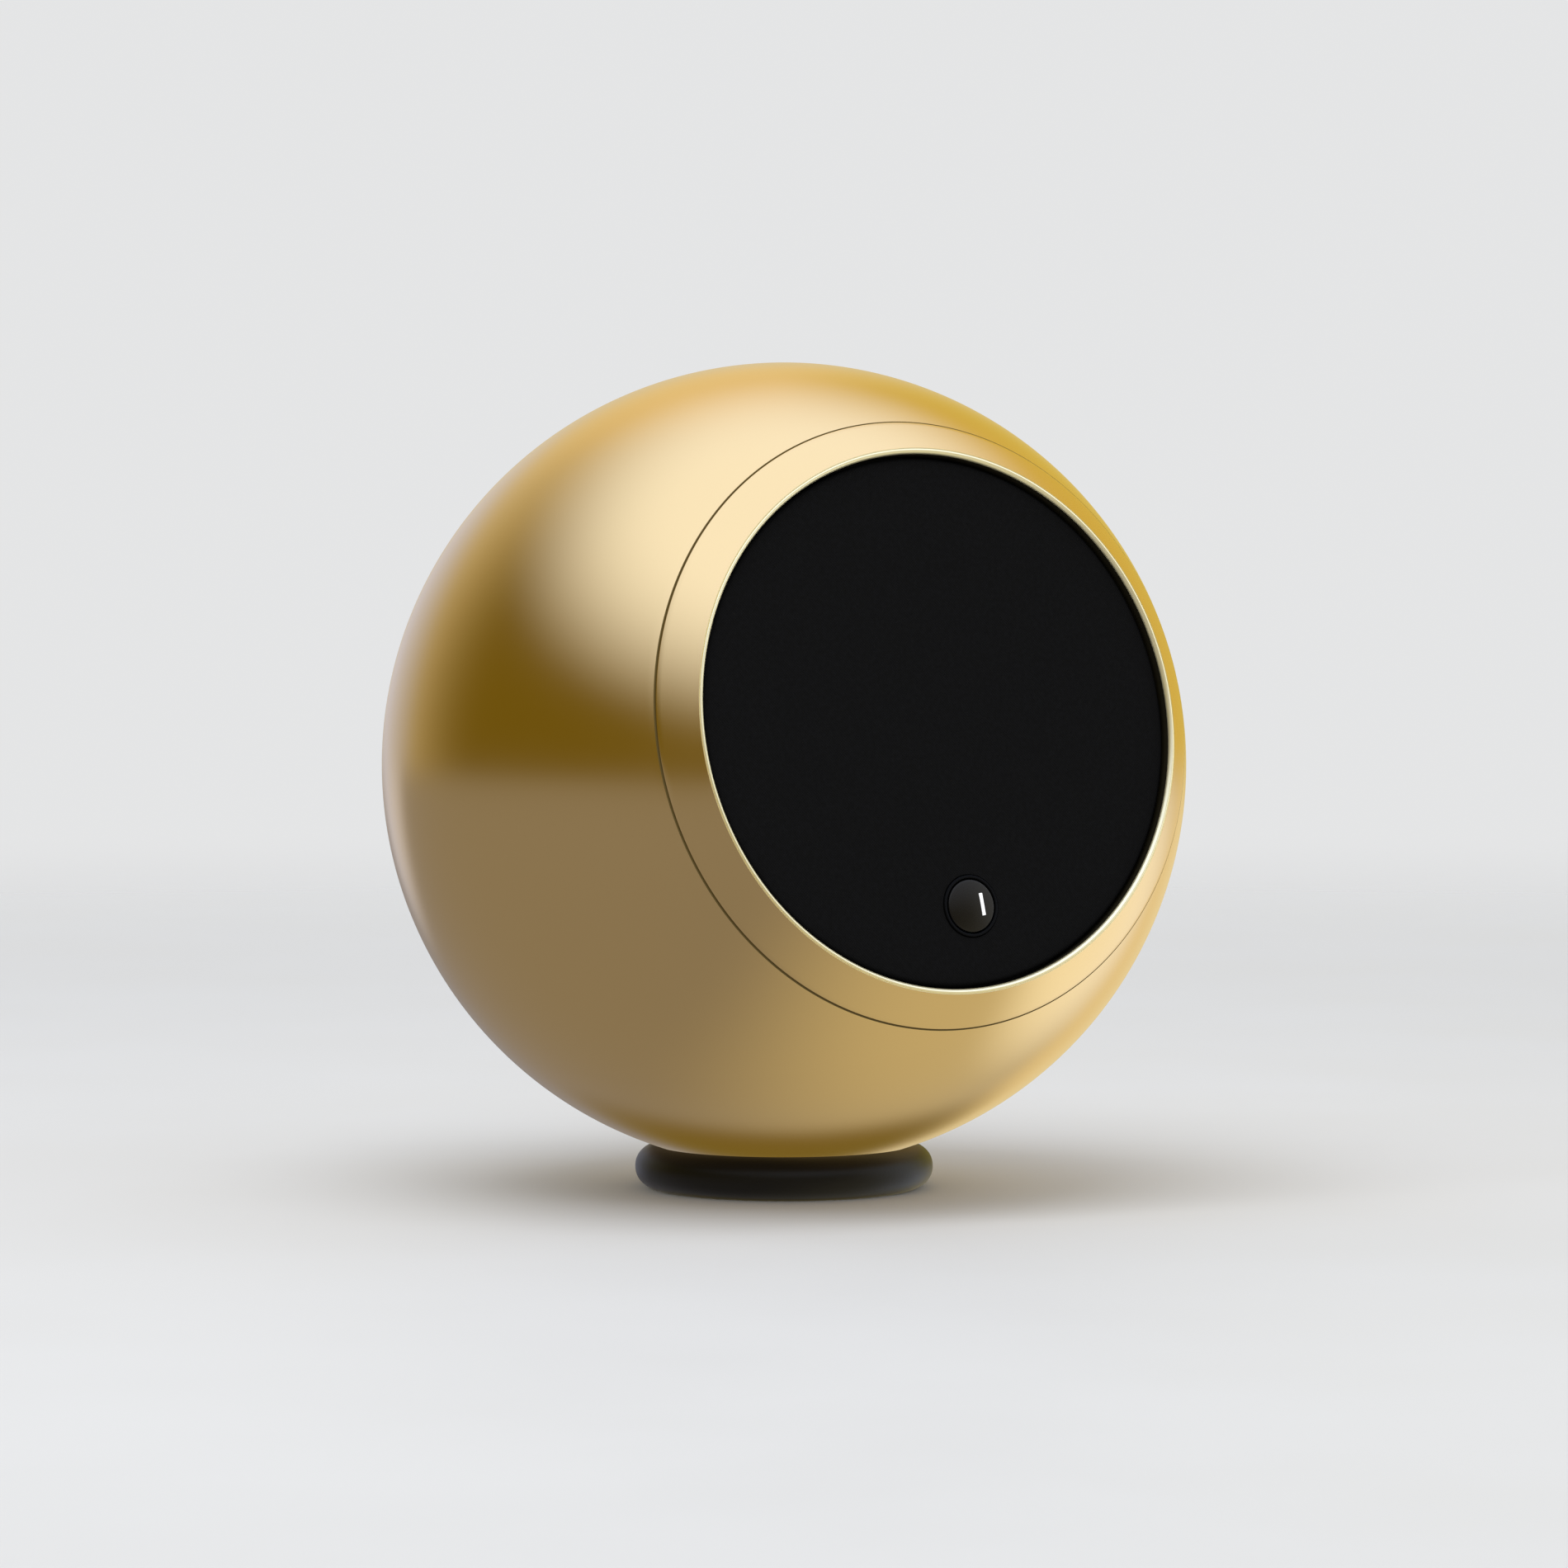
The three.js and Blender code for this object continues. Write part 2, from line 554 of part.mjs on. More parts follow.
function buttonCap() {
  const dome = [1, 0.66, 0.33, 0].map((share) => [
    BUTTON_RADIUS * share, capEdge + BUTTON_DOME * (1 - share ** 2)]);
  const cap = turnedSolid([[0, stemBack], [STEM_RADIUS, stemBack], [STEM_RADIUS, capBack],
    [BUTTON_RADIUS, capBack], ...dome], BUTTON_ROUND);
  const slot = block(...lightSlot, capBack - CUT_PAST, capEdge + BUTTON_DOME + CUT_PAST, LIGHT_OFFSET);
  return cut(cap, [slot]).translate(0, 0, BUTTON_OFFSET);
}

function buttonLight() {
  const top = capEdge + BUTTON_DOME * (1 - (LIGHT_OFFSET / BUTTON_RADIUS) ** 2);
  return block(LIGHT_WIDTH, LIGHT_LENGTH, capBack, top, LIGHT_OFFSET, BUTTON_OFFSET);
}

function buttonSwitch() {
  return block(SWITCH_SIZE, SWITCH_SIZE, switchBack, switchFront, 0, BUTTON_OFFSET);
}

function buttonLed() {
  return block(...LED_SIZE, switchBack, switchBack + LED_HEIGHT, LED_OFFSET, BUTTON_OFFSET);
}

function buttonBoard() {
  const back = boardFront - BOARD_THICKNESS;
  return rod(buttonBoardRadius, back, boardFront, 0, BUTTON_OFFSET, BUTTON_ROUND);
}

// The ribbon leaves the button's board, passes between the driver and the mouth, runs down inside the
// wadding and round the magnet, and ends at the main board.
const mainBoardBack = rearLandingInside + GAP + CHASSIS_HEIGHT;
const mainBoardFront = mainBoardBack + MAIN_BOARD_THICKNESS;
const ribbonEnd = MAIN_BOARD_RADIUS - BOARD_EDGE + RIBBON_PLUG_DEPTH / 2;
const buttonBoardRadius = collarOuter + COLLAR_FLANGE;
const magnetEdge = Math.max(MAGNET_RADIUS, BASKET_FLOOR_RADIUS);

function frontRibbon() {
  const edge = bezelBore - 4 * GAP;
  const start = BUTTON_OFFSET + buttonBoardRadius + GAP;
  const startLevel = boardFront - BOARD_THICKNESS / 2;
  const cupBack = driverSeat - DRIVER_SEAT_THICKNESS - RIBBON_BEND;
  const plugLevel = mainBoardFront + GAP + RIBBON_PLUG_HEIGHT + 2 * GAP;
  const down = (share) => cupBack + (plugLevel + 2 * RIBBON_BEND - cupBack) * share;
  return ribbon([
    [start, startLevel],
    [(start + edge) / 2, startLevel],
    [edge, startLevel - RIBBON_BEND],
    [edge, (startLevel - RIBBON_BEND + driverSeat + RIBBON_BEND) / 2],
    [ribbonSlotMiddle, driverSeat + RIBBON_BEND],
    [ribbonSlotMiddle, cupBack],
    [Math.min(MOUTH_RADIUS, waddingInner) - 2 * RIBBON_BEND, down(0.2)],
    [magnetEdge + 2 * RIBBON_BEND, down(0.65)],
    [ribbonEnd, down(1)],
    [ribbonEnd, plugLevel],
  ], RIBBON_WIDTH, RIBBON_THICKNESS);
}

function frontPieces() {
  const front = new THREE.Group();
  front.rotation.y = THREE.MathUtils.degToRad(FRONT_CLOCK);
  const micBack = ledgeFront - MIC_HEIGHT;
  const micOffset = grilleRadius - MIC_INSET;
  front.add(
    named('front_bezel', frontBezel(), satinGold),
    named('grille_frame', grilleFrame(), blackPlastic),
    named('grille_cloth', grilleCloth(), blackCloth),
    named('button_collar', buttonCollar(), blackPlastic),
    named('button_cap', buttonCap(), blackPlastic),
    named('button_light', buttonLight(), clearLight),
    named('button_switch', buttonSwitch(), greyPlastic),
    named('button_led', buttonLed(), whitePlastic),
    named('button_board', buttonBoard(), greenBoard),
    named('mic_left', block(...MIC_SIZE, micBack, ledgeFront, -micOffset), zincSteel),
    named('mic_right', block(...MIC_SIZE, micBack, ledgeFront, micOffset), zincSteel),
    named('front_ribbon', frontRibbon(), whitePlastic),
  );
  return front;
}

// ---- Driver: basket, magnet system and the moving cone ----

const gasketFront = driverSeat + GAP + DRIVER_GASKET;
const flangeBack = gasketFront + GAP;
const flangeFront = flangeBack + BASKET_PLATE;
const basketOuter = driverSeatBore - GAP;
const floorBack = flangeFront - BASKET_DEPTH;
const floorFront = floorBack + BASKET_WALL;
const spiderLedge = floorFront + LEDGE_RISE;
const surroundLevel = flangeFront + GAP;
const rollMiddle = basketOuter - BASKET_WALL - SURROUND_ROLL - SHEET - GAP;
const coneEdge = rollMiddle - SURROUND_ROLL;
const coneNeck = COIL_RADIUS + FORMER_CLEARANCE;
const coneNeckLevel = floorFront + NECK_RISE;
const polePlateFront = floorBack - GAP;
const polePlateBack = polePlateFront - POLE_PLATE_THICKNESS;
const magnetFront = polePlateBack - GAP;
const magnetBack = magnetFront - MAGNET_THICKNESS;
const yokeFront = magnetBack - GAP;
const yokeBack = yokeFront - POLE_PLATE_THICKNESS;
const terminalBack = BASKET_FLOOR_RADIUS + GAP;

function driverGasket() {
  const pad = ringOf(driverSeatBore + GAP, driverFlange, driverSeat + GAP, gasketFront);
  return cut(pad, driverScrews.map(([x, z]) => rod(DRIVER_SCREW_RADIUS + GAP, driverSeat, flangeBack, x, z)));
}

function driverBasket() {
  const inner = basketOuter - BASKET_WALL;
  const floorEdge = BASKET_FLOOR_RADIUS - BASKET_WALL;
  const shoulder = flangeBack - BASKET_SHOULDER;
  const basket = turned([
    [driverFlange, flangeBack],
    [driverFlange, flangeFront],
    [inner, flangeFront],
    [inner, shoulder],
    [floorEdge, spiderLedge],
    [floorEdge - BASKET_LEDGE, spiderLedge],
    [floorEdge - BASKET_LEDGE, floorFront],
    [COIL_RADIUS + COIL_TO_FLOOR, floorFront],
    [COIL_RADIUS + COIL_TO_FLOOR, floorBack],
    [BASKET_FLOOR_RADIUS, floorBack],
    [BASKET_FLOOR_RADIUS, spiderLedge - 2 * GAP],
    [basketOuter, shoulder],
    [basketOuter, flangeBack],
  ], ROUND);
  const across = 4 * driverFlange;
  const windows = [0, Math.PI / 2].map((turn) => (
    block(BASKET_WINDOW, across, spiderLedge + BASKET_WALL, shoulder - BASKET_WALL).rotateY(turn)));
  const holes = driverScrews.map(([x, z]) => (
    rod(DRIVER_SCREW_RADIUS + GAP, flangeBack - CUT_PAST, flangeFront + CUT_PAST, x, z)));
  return cut(basket, [...windows, ...holes]);
}

function surround() {
  const rollOuter = SURROUND_ROLL;
  const landing = surroundLevel + SHEET;
  const roll = (radius) => [0, 1, 2, 3, 4].map((i) => {
    const angle = (Math.PI * i) / 4;
    return [rollMiddle - radius * Math.cos(angle), surroundLevel + radius * Math.sin(angle)];
  });
  const outerEdge = driverScrewCircle - DRIVER_SCREW_HEAD[0] - 2 * GAP;
  return turned([
    [coneEdge - GLUE_WIDTH, surroundLevel],
    ...roll(rollOuter - SHEET),
    [outerEdge, surroundLevel],
    [outerEdge, landing],
    ...roll(rollOuter).reverse().map(([r, level]) => [r, Math.max(level, landing)]),
    [coneEdge - GLUE_WIDTH, landing],
  ]);
}

function cone() {
  const edgeLevel = surroundLevel - GAP;
  const rise = edgeLevel - SHEET - coneNeckLevel;
  const curve = (offset) => [0, 1, 2, 3].map((i) => {
    const radius = coneNeck + ((coneEdge - coneNeck) * i) / 3;
    return [radius, coneNeckLevel + rise * (i / 3) ** CONE_CURVE + offset];
  });
  return turned([...curve(0), ...curve(SHEET).reverse()]);
}

function dustCap() {
  const base = coneNeck + DUST_CAP_OVERLAP;
  const baseLevel = coneNeckLevel + DUST_CAP_RISE;
  const dome = (drop) => [1, 0.75, 0.5, 0.25, 0].map((share) => [
    (base - drop) * share, baseLevel + DUST_CAP_DOME * (1 - share ** 2) - (share < 1 ? drop : 0)]);
  return turnedSolid([...dome(SHEET).reverse(), ...dome(0)], INNER_ROUND);
}

function spider() {
  const outer = BASKET_FLOOR_RADIUS - BASKET_WALL - 2 * GAP;
  const inner = COIL_RADIUS + FORMER_CLEARANCE;
  const level = spiderLedge + GAP;
  const wave = (offset) => Array.from({ length: 7 }, (_, i) => {
    const ripple = i < 5 ? SPIDER_RIPPLE * (i % 2) : 0;
    return [inner + ((outer - inner) * i) / 6, level + ripple + offset];
  });
  return turned([...wave(0), ...wave(SHEET).reverse()]);
}

function yoke() {
  const pole = COIL_RADIUS - COIL_WALL - COIL_CLEARANCE;
  return turned([
    [POLE_VENT, yokeBack], [BASKET_FLOOR_RADIUS, yokeBack], [BASKET_FLOOR_RADIUS, yokeFront],
    [pole, yokeFront], [pole, polePlateFront - GAP], [POLE_VENT, polePlateFront - GAP],
  ]);
}

// A screw with its head facing along +Y, or along -Y when turned about.
function screw(radius, [headRadius, headHeight], length, level, [x, z], turnedAbout = false) {
  const side = turnedAbout ? -1 : 1;
  const outline = [[0, -length], [radius, -length], [radius, 0], [headRadius, 0],
    [headRadius * 0.85, headHeight], [0, headHeight]];
  const body = turnedSolid(outline.map(([r, y]) => [r, side * y]), SMALL_ROUND);
  const recess = rod(headRadius * 0.42, headHeight * 0.45, headHeight + CUT_PAST, 0, 0, 6);
  if (turnedAbout) {
    recess.rotateX(Math.PI);
  }
  return cut(body, [recess]).translate(x, level, z);
}

function terminals() {
  const x = terminalBack + TERMINAL_WIDTH / 2;
  return block(TERMINAL_WIDTH, TERMINAL_HEIGHT, polePlateBack + CUT_PAST, floorFront, x);
}

function driverPieces() {
  const driver = new THREE.Group();
  const coilBack = polePlateBack + FINE_GAP;
  const coil = ringOf(COIL_RADIUS - COIL_WALL, COIL_RADIUS, coilBack, coilBack + COIL_LENGTH);
  const plateBore = COIL_RADIUS + COIL_CLEARANCE;
  const plate = ringOf(plateBore, BASKET_FLOOR_RADIUS, polePlateBack, polePlateFront);
  driver.add(
    named('driver_gasket', driverGasket(), darkFoam),
    named('driver_basket', driverBasket(), blackSteel),
    named('cone_surround', surround(), blackRubber),
    named('cone', cone(), paperCone),
    named('dust_cap', dustCap(), paperCone),
    named('voice_coil', coil, copper),
    named('spider', spider(), spiderCloth),
    named('pole_plate', plate, zincSteel),
    named('magnet', ringOf(MAGNET_BORE, MAGNET_RADIUS, magnetBack, magnetFront), ferrite),
    named('yoke', yoke(), zincSteel),
    named('driver_terminals', terminals(), greyPlastic),
  );
  const headLevel = flangeFront + FINE_GAP;
  driverScrews.forEach((place, i) => {
    const body = screw(DRIVER_SCREW_RADIUS, DRIVER_SCREW_HEAD, DRIVER_SCREW_LENGTH, headLevel, place);
    driver.add(named(`driver_screw_${i + 1}`, body, zincSteel));
  });
  return driver;
}

// Wadding lines the middle of the ball and damps the sound inside it.
function waddingRing() {
  const front = driverSeat - WADDING_SETBACK;
  const back = front - WADDING_WIDTH;
  const outside = sphereArc(waddingOuter, Math.acos(front / waddingOuter), Math.acos(back / waddingOuter));
  return turned([...outside, [waddingInner, back], [waddingInner, front]]);
}

// ---- Electronics: chassis on the rear landing, main board and its parts ----

const chassisBack = rearLandingInside + GAP;
const postTop = mainBoardBack - GAP;

function chassis() {
  const halfWidth = CHASSIS_POST - CHASSIS_RING_INSET;
  const ringFront = chassisBack + CHASSIS_RING;
  const base = ringOf(SCREW_CIRCLE - halfWidth, SCREW_CIRCLE + halfWidth, chassisBack, ringFront);
  const posts = rearScrews.map(([x, z]) => rod(CHASSIS_POST, chassisBack, postTop, x, z));
  const drillings = rearScrews.flatMap(([x, z]) => [
    rod(REAR_SCREW_RADIUS + GAP, chassisBack - CUT_PAST, chassisBack + SCREW_DRILLING, x, z),
    rod(REAR_SCREW_RADIUS + GAP, postTop - SCREW_DRILLING, postTop + CUT_PAST, x, z),
  ]);
  return cut(join(base, posts), drillings);
}

function mainBoard() {
  const board = rod(MAIN_BOARD_RADIUS, mainBoardBack, mainBoardFront, 0, 0, ROUND);
  return cut(board, rearScrews.map(([x, z]) => (
    rod(REAR_SCREW_RADIUS + GAP, mainBoardBack - CUT_PAST, mainBoardFront + CUT_PAST, x, z))));
}

function boardPieces() {
  const board = new THREE.Group();
  const front = mainBoardFront + GAP;
  const back = mainBoardBack - GAP;
  const coilPlace = MAIN_BOARD_RADIUS - BOARD_EDGE - OUTPUT_COIL_RADIUS - GAP;
  const coils = OUTPUT_COIL_OFFSETS.map((z) => (
    rod(OUTPUT_COIL_RADIUS, front, front + OUTPUT_COIL_HEIGHT, coilPlace, z)));
  const [capacitorX, capacitorZ] = CAPACITOR_OFFSET;
  const capacitors = [-capacitorX, capacitorX].map((x) => (
    rod(CAPACITOR_RADIUS, back - CAPACITOR_LENGTH, back, x, capacitorZ)));
  const chipPlace = MAIN_BOARD_RADIUS - BOARD_EDGE - CHIP_SIZE / 2;
  const chip = block(CHIP_SIZE, CHIP_SIZE, front, front + CHIP_HEIGHT, chipPlace, CHIP_OFFSET);
  const powerPlug = block(...POWER_PLUG, back - POWER_PLUG_HEIGHT, back, 0, POWER_PLUG_OFFSET);
  const plugPlace = MAIN_BOARD_RADIUS - BOARD_EDGE + SPEAKER_PLUG / 2;
  const plugTop = front + SPEAKER_PLUG_HEIGHT;
  const speakerPlug = block(SPEAKER_PLUG, SPEAKER_PLUG, front, plugTop, plugPlace, SPEAKER_PLUG_OFFSET);
  const ribbonPlug = block(
    RIBBON_WIDTH + 2 * CUT_PAST, RIBBON_PLUG_DEPTH, front, front + RIBBON_PLUG_HEIGHT, 0, ribbonEnd);
  ribbonPlug.rotateY(THREE.MathUtils.degToRad(FRONT_CLOCK));
  board.add(
    named('chassis', chassis(), blackPlastic),
    named('main_board', mainBoard(), greenBoard),
    named('shield_can', block(SHIELD_SIZE, SHIELD_SIZE, front, front + SHIELD_HEIGHT), zincSteel),
    named('amplifier_chip', chip, blackPlastic),
    named('output_coil_1', coils[0], ferrite),
    named('output_coil_2', coils[1], ferrite),
    named('capacitor_1', capacitors[0], zincSteel),
    named('capacitor_2', capacitors[1], zincSteel),
    named('power_connector', powerPlug, whitePlastic),
    named('speaker_connector', speakerPlug, whitePlastic),
    named('ribbon_connector', ribbonPlug, whitePlastic),
    named('speaker_lead', speakerLead(plugPlace, plugTop), blackRubber),
  );
  rearScrews.forEach((place, i) => {
    const body = screw(
      REAR_SCREW_RADIUS, BOARD_SCREW_HEAD, BOARD_SCREW_LENGTH, mainBoardFront + FINE_GAP, place);
    board.add(named(`board_screw_${i + 1}`, body, zincSteel));
  });
  return board;
}

// The lead runs from the driver's terminals, outside the magnet, down to its plug on the main board.
function speakerLead(plugPlace, plugTop) {
  const start = terminalBack + TERMINAL_WIDTH + GAP;
  const startLevel = floorFront - 2 * BASKET_WALL;
  const clearOfMagnet = magnetEdge + 5 * LEAD_RADIUS;
  return lead([
    [start, startLevel, 0],
    [start + 2 * LEAD_RADIUS, startLevel, 0],
    [clearOfMagnet, startLevel - 5 * LEAD_RADIUS, SPEAKER_PLUG_OFFSET / 4],
    [clearOfMagnet, magnetBack, SPEAKER_PLUG_OFFSET / 2],
    [plugPlace, plugTop + 5 * LEAD_RADIUS, SPEAKER_PLUG_OFFSET],
    [plugPlace, plugTop + GAP, SPEAKER_PLUG_OFFSET],
  ]);
}

// ---- Rear panel: plastic cap with the power inlet, pairing button, antenna and screws ----

const panelSphere = BALL_RADIUS - PANEL_INSET;
const panelRadius = REAR_OPENING_RADIUS - GAP;
const panelInside = rearLanding - 2 * GAP - REAR_GASKET;
const recessFace = panelInside - PANEL_RECESS_FLOOR;
const inletBoardBack = panelInside + INLET_BOARD_DEPTH;
const inletBoardFront = inletBoardBack + INLET_BOARD_THICKNESS;
const pairSwitchBack = inletBoardBack - GAP - PAIR_SWITCH_HEIGHT;
const screwSeat = panelInside - SCREW_WELL_FLOOR;

// A bar whose section is a slot with round ends.
function slotBar(width, height, back, front, z) {
  const end = height / 2;
  const centre = width / 2 - end;
  const outline = new THREE.Shape();
  outline.moveTo(-centre, -end);
  outline.lineTo(centre, -end);
  outline.absarc(centre, 0, end, -Math.PI / 2, Math.PI / 2, false);
  outline.lineTo(-centre, end);
  outline.absarc(-centre, 0, end, Math.PI / 2, 1.5 * Math.PI, false);
  const settings = { depth: front - back, bevelEnabled: false, curveSegments: SMALL_ROUND / 2 };
  const bar = new THREE.ExtrudeGeometry(outline, settings);
  return closed(bar.rotateX(-Math.PI / 2)).translate(0, back, z);
}

function rearPanel() {
  const rimAngle = Math.PI - Math.asin(panelRadius / panelSphere);
  const recessAngle = Math.PI - Math.asin((PANEL_RECESS_RADIUS + PANEL_RECESS_EDGE) / panelSphere);
  const plate = turnedSolid([
    [0, recessFace],
    [PANEL_RECESS_RADIUS, recessFace],
    ...sphereArc(panelSphere, recessAngle, rimAngle, FINE_STEP),
    [panelRadius, panelInside],
    [0, panelInside],
  ], ROUND);
  const root = panelInside - FINE_GAP;
  const pillars = [-PILLAR_OFFSET, PILLAR_OFFSET].flatMap((x) => [
    rod(PILLAR_RADIUS, root, inletBoardBack - GAP, x),
    rod(PILLAR_PIN_RADIUS, root, inletBoardFront + PILLAR_PIN_PROUD, x),
  ]);
  const outside = -panelSphere;
  const inside = panelInside + CUT_PAST;
  const [width, height] = INLET_SIZE;
  const inletHole = slotBar(width + 2 * GAP, height + 2 * GAP, outside, inside, -INLET_HEIGHT);
  const buttonHoleCut = rod(
    PAIR_BUTTON_RADIUS + GAP, outside, inside, 0, -PAIR_BUTTON_HEIGHT, BUTTON_ROUND);
  const screwCuts = rearScrews.flatMap(([x, z]) => [
    rod(REAR_SCREW_RADIUS + GAP, outside, inside, x, z),
    rod(SCREW_WELL_RADIUS, outside, screwSeat, x, z),
  ]);
  return cut(join(plate, pillars), [inletHole, buttonHoleCut, ...screwCuts]);
}

function powerInlet() {
  const [width, height] = INLET_SIZE;
  const back = recessFace + FINE_GAP;
  const front = inletBoardBack - GAP;
  const floor = front - INLET_FLOOR;
  const can = slotBar(width, height, back, front, 0);
  const hollow = slotBar(width - 2 * INLET_WALL, height - 2 * INLET_WALL, back - CUT_PAST, floor, 0);
  const tongueWidth = width - height + INLET_TONGUE;
  const tongue = block(tongueWidth, INLET_TONGUE, back + INLET_TONGUE_SETBACK, floor + INLET_FLOOR / 2);
  return join(cut(can, [hollow]), [tongue]).translate(0, 0, -INLET_HEIGHT);
}

function pairButton() {
  const [flangeWidth, flangeThickness] = PAIR_FLANGE;
  const flangeRadius = PAIR_BUTTON_RADIUS + flangeWidth;
  const flangeBack = panelInside + GAP;
  const flangeTop = flangeBack + flangeThickness;
  const stemEnd = pairSwitchBack - PAIR_TRAVEL - FINE_GAP;
  const button = turnedSolid([
    [0, recessFace - PAIR_PROUD],
    [PAIR_BUTTON_RADIUS - PAIR_PROUD, recessFace - PAIR_PROUD],
    [PAIR_BUTTON_RADIUS, recessFace],
    [PAIR_BUTTON_RADIUS, flangeBack],
    [flangeRadius, flangeBack],
    [flangeRadius, flangeTop],
    [STEM_RADIUS, flangeTop],
    [STEM_RADIUS, stemEnd],
    [0, stemEnd],
  ], BUTTON_ROUND);
  return button.translate(0, 0, -PAIR_BUTTON_HEIGHT);
}

function inletBoard() {
  const board = rod(INLET_BOARD_RADIUS, inletBoardBack, inletBoardFront, 0, 0, INNER_ROUND);
  return cut(board, [-PILLAR_OFFSET, PILLAR_OFFSET].map((x) => (
    rod(PILLAR_PIN_RADIUS + GAP, inletBoardBack - CUT_PAST, inletBoardFront + CUT_PAST, x))));
}

// The lead runs from the inlet's board to its plug on the back of the main board.
function powerLead() {
  const start = inletBoardFront + GAP;
  const end = mainBoardBack - GAP - POWER_PLUG_HEIGHT - GAP;
  const startZ = POWER_PLUG_OFFSET / 2;
  return lead([
    [0, start, startZ],
    [0, start + 3 * LEAD_RADIUS, startZ],
    [0, (start + end) / 2, (startZ + POWER_PLUG_OFFSET) / 2],
    [0, end, POWER_PLUG_OFFSET],
  ], LEAD_RADIUS, 8);
}

function rearPieces() {
  const rear = new THREE.Group();
  const gasketInner = SCREW_CIRCLE + 2 * REAR_SCREW_RADIUS;
  const gasketBack = rearLanding - GAP - REAR_GASKET;
  const gasket = ringOf(gasketInner, panelRadius, gasketBack, gasketBack + REAR_GASKET, ROUND);
  const switchMiddle = -PAIR_BUTTON_HEIGHT;
  const pairSwitch = block(
    PAIR_SWITCH_SIZE, PAIR_SWITCH_SIZE, pairSwitchBack, inletBoardBack - GAP, 0, switchMiddle);
  const [antennaWidth, antennaHeight, antennaThickness] = ANTENNA_SIZE;
  const antennaBack = panelInside + GAP;
  const antennaMiddle = switchMiddle - PAIR_BUTTON_RADIUS - ANTENNA_OFFSET;
  const antenna = block(
    antennaWidth, antennaHeight, antennaBack, antennaBack + antennaThickness, 0, antennaMiddle);
  rear.add(
    named('rear_panel', rearPanel(), blackPlastic),
    named('rear_gasket', gasket, darkFoam),
    named('usb_c_inlet', powerInlet(), zincSteel),
    named('inlet_board', inletBoard(), greenBoard),
    named('pair_button', pairButton(), greyPlastic),
    named('pair_switch', pairSwitch, blackPlastic),
    named('antenna', antenna, greenBoard),
    named('power_lead', powerLead(), blackRubber),
  );
  rearScrews.forEach((place, i) => {
    const body = screw(
      REAR_SCREW_RADIUS, REAR_SCREW_HEAD, REAR_SCREW_LENGTH, screwSeat - FINE_GAP, place, true);
    rear.add(named(`rear_screw_${i + 1}`, body, blackSteel));
  });
  return rear;
}

// ---- The whole speaker ----

const ball = new THREE.Group();
ball.position.z = ballHeight;
ball.rotation.x = Math.PI - THREE.MathUtils.degToRad(BALL_TILT);
ball.add(
  named('ball_shell', ballShell(), satinGold),
  named('wadding_ring', waddingRing(), wadding),
  frontPieces(),
  driverPieces(),
  boardPieces(),
  rearPieces(),
);

const speaker = new THREE.Group();
speaker.add(
  named('foot_ring', footRing(), blackRubber),
  named('foot_weight', footWeight(), zincSteel),
  named('foot_pad', footPad(), darkFoam),
  named('seat_ring', seatRing(), greyPlastic),
  ball,
);

export default speaker;
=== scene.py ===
import json
import math

import bmesh
import bpy
from mathutils import Matrix, Vector


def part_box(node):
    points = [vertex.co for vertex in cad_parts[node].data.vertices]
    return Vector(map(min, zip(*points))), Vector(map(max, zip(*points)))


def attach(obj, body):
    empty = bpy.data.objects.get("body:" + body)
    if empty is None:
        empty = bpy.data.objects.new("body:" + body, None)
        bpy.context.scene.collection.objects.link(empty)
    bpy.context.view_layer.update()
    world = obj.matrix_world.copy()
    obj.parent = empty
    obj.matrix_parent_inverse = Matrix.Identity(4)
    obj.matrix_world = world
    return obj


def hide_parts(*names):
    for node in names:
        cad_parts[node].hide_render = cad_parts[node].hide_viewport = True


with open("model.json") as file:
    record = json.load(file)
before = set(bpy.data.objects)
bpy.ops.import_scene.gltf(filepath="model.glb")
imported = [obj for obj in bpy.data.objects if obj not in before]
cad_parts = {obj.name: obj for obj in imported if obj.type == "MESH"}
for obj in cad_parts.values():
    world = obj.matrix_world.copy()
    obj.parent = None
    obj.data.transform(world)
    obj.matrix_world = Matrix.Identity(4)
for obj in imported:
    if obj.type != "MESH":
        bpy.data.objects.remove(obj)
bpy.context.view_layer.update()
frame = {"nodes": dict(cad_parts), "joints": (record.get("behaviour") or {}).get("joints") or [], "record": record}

# ---- Camera ----
# A long studio lens at table height, turned well to the left of the speaker's front.
# It aims a little below the middle of the ball, so that ball and foot sit centred together.
MM = 0.001
joints = {joint["name"]: joint for joint in frame["joints"]}
ball_centre = Vector(joints["ball_tilt"]["pos_m"])
front_axis = Vector(joints["cone_travel"]["axis"]).normalized()

CAMERA_AZIMUTH = math.radians(-29.7)
CAMERA_ELEVATION = math.radians(2.5)
CAMERA_DISTANCE = 0.9525
LENS_LENGTH = 138.2
SENSOR_WIDTH = 36.0
AIM_BELOW_CENTRE = 3.06 * MM

towards_camera = Vector((
    math.sin(CAMERA_AZIMUTH) * math.cos(CAMERA_ELEVATION),
    -math.cos(CAMERA_AZIMUTH) * math.cos(CAMERA_ELEVATION),
    math.sin(CAMERA_ELEVATION),
))
camera_data = bpy.data.cameras.new("studio_camera")
camera_data.lens = LENS_LENGTH
camera_data.sensor_width = SENSOR_WIDTH
camera = bpy.data.objects.new("studio_camera", camera_data)
bpy.context.scene.collection.objects.link(camera)
aim = ball_centre - Vector((0, 0, AIM_BELOW_CENTRE))
camera.location = aim + towards_camera * CAMERA_DISTANCE
camera.rotation_euler = (-towards_camera).to_track_quat("-Z", "Y").to_euler()
bpy.context.scene.camera = camera
bpy.context.scene.view_settings.view_transform = "Standard"

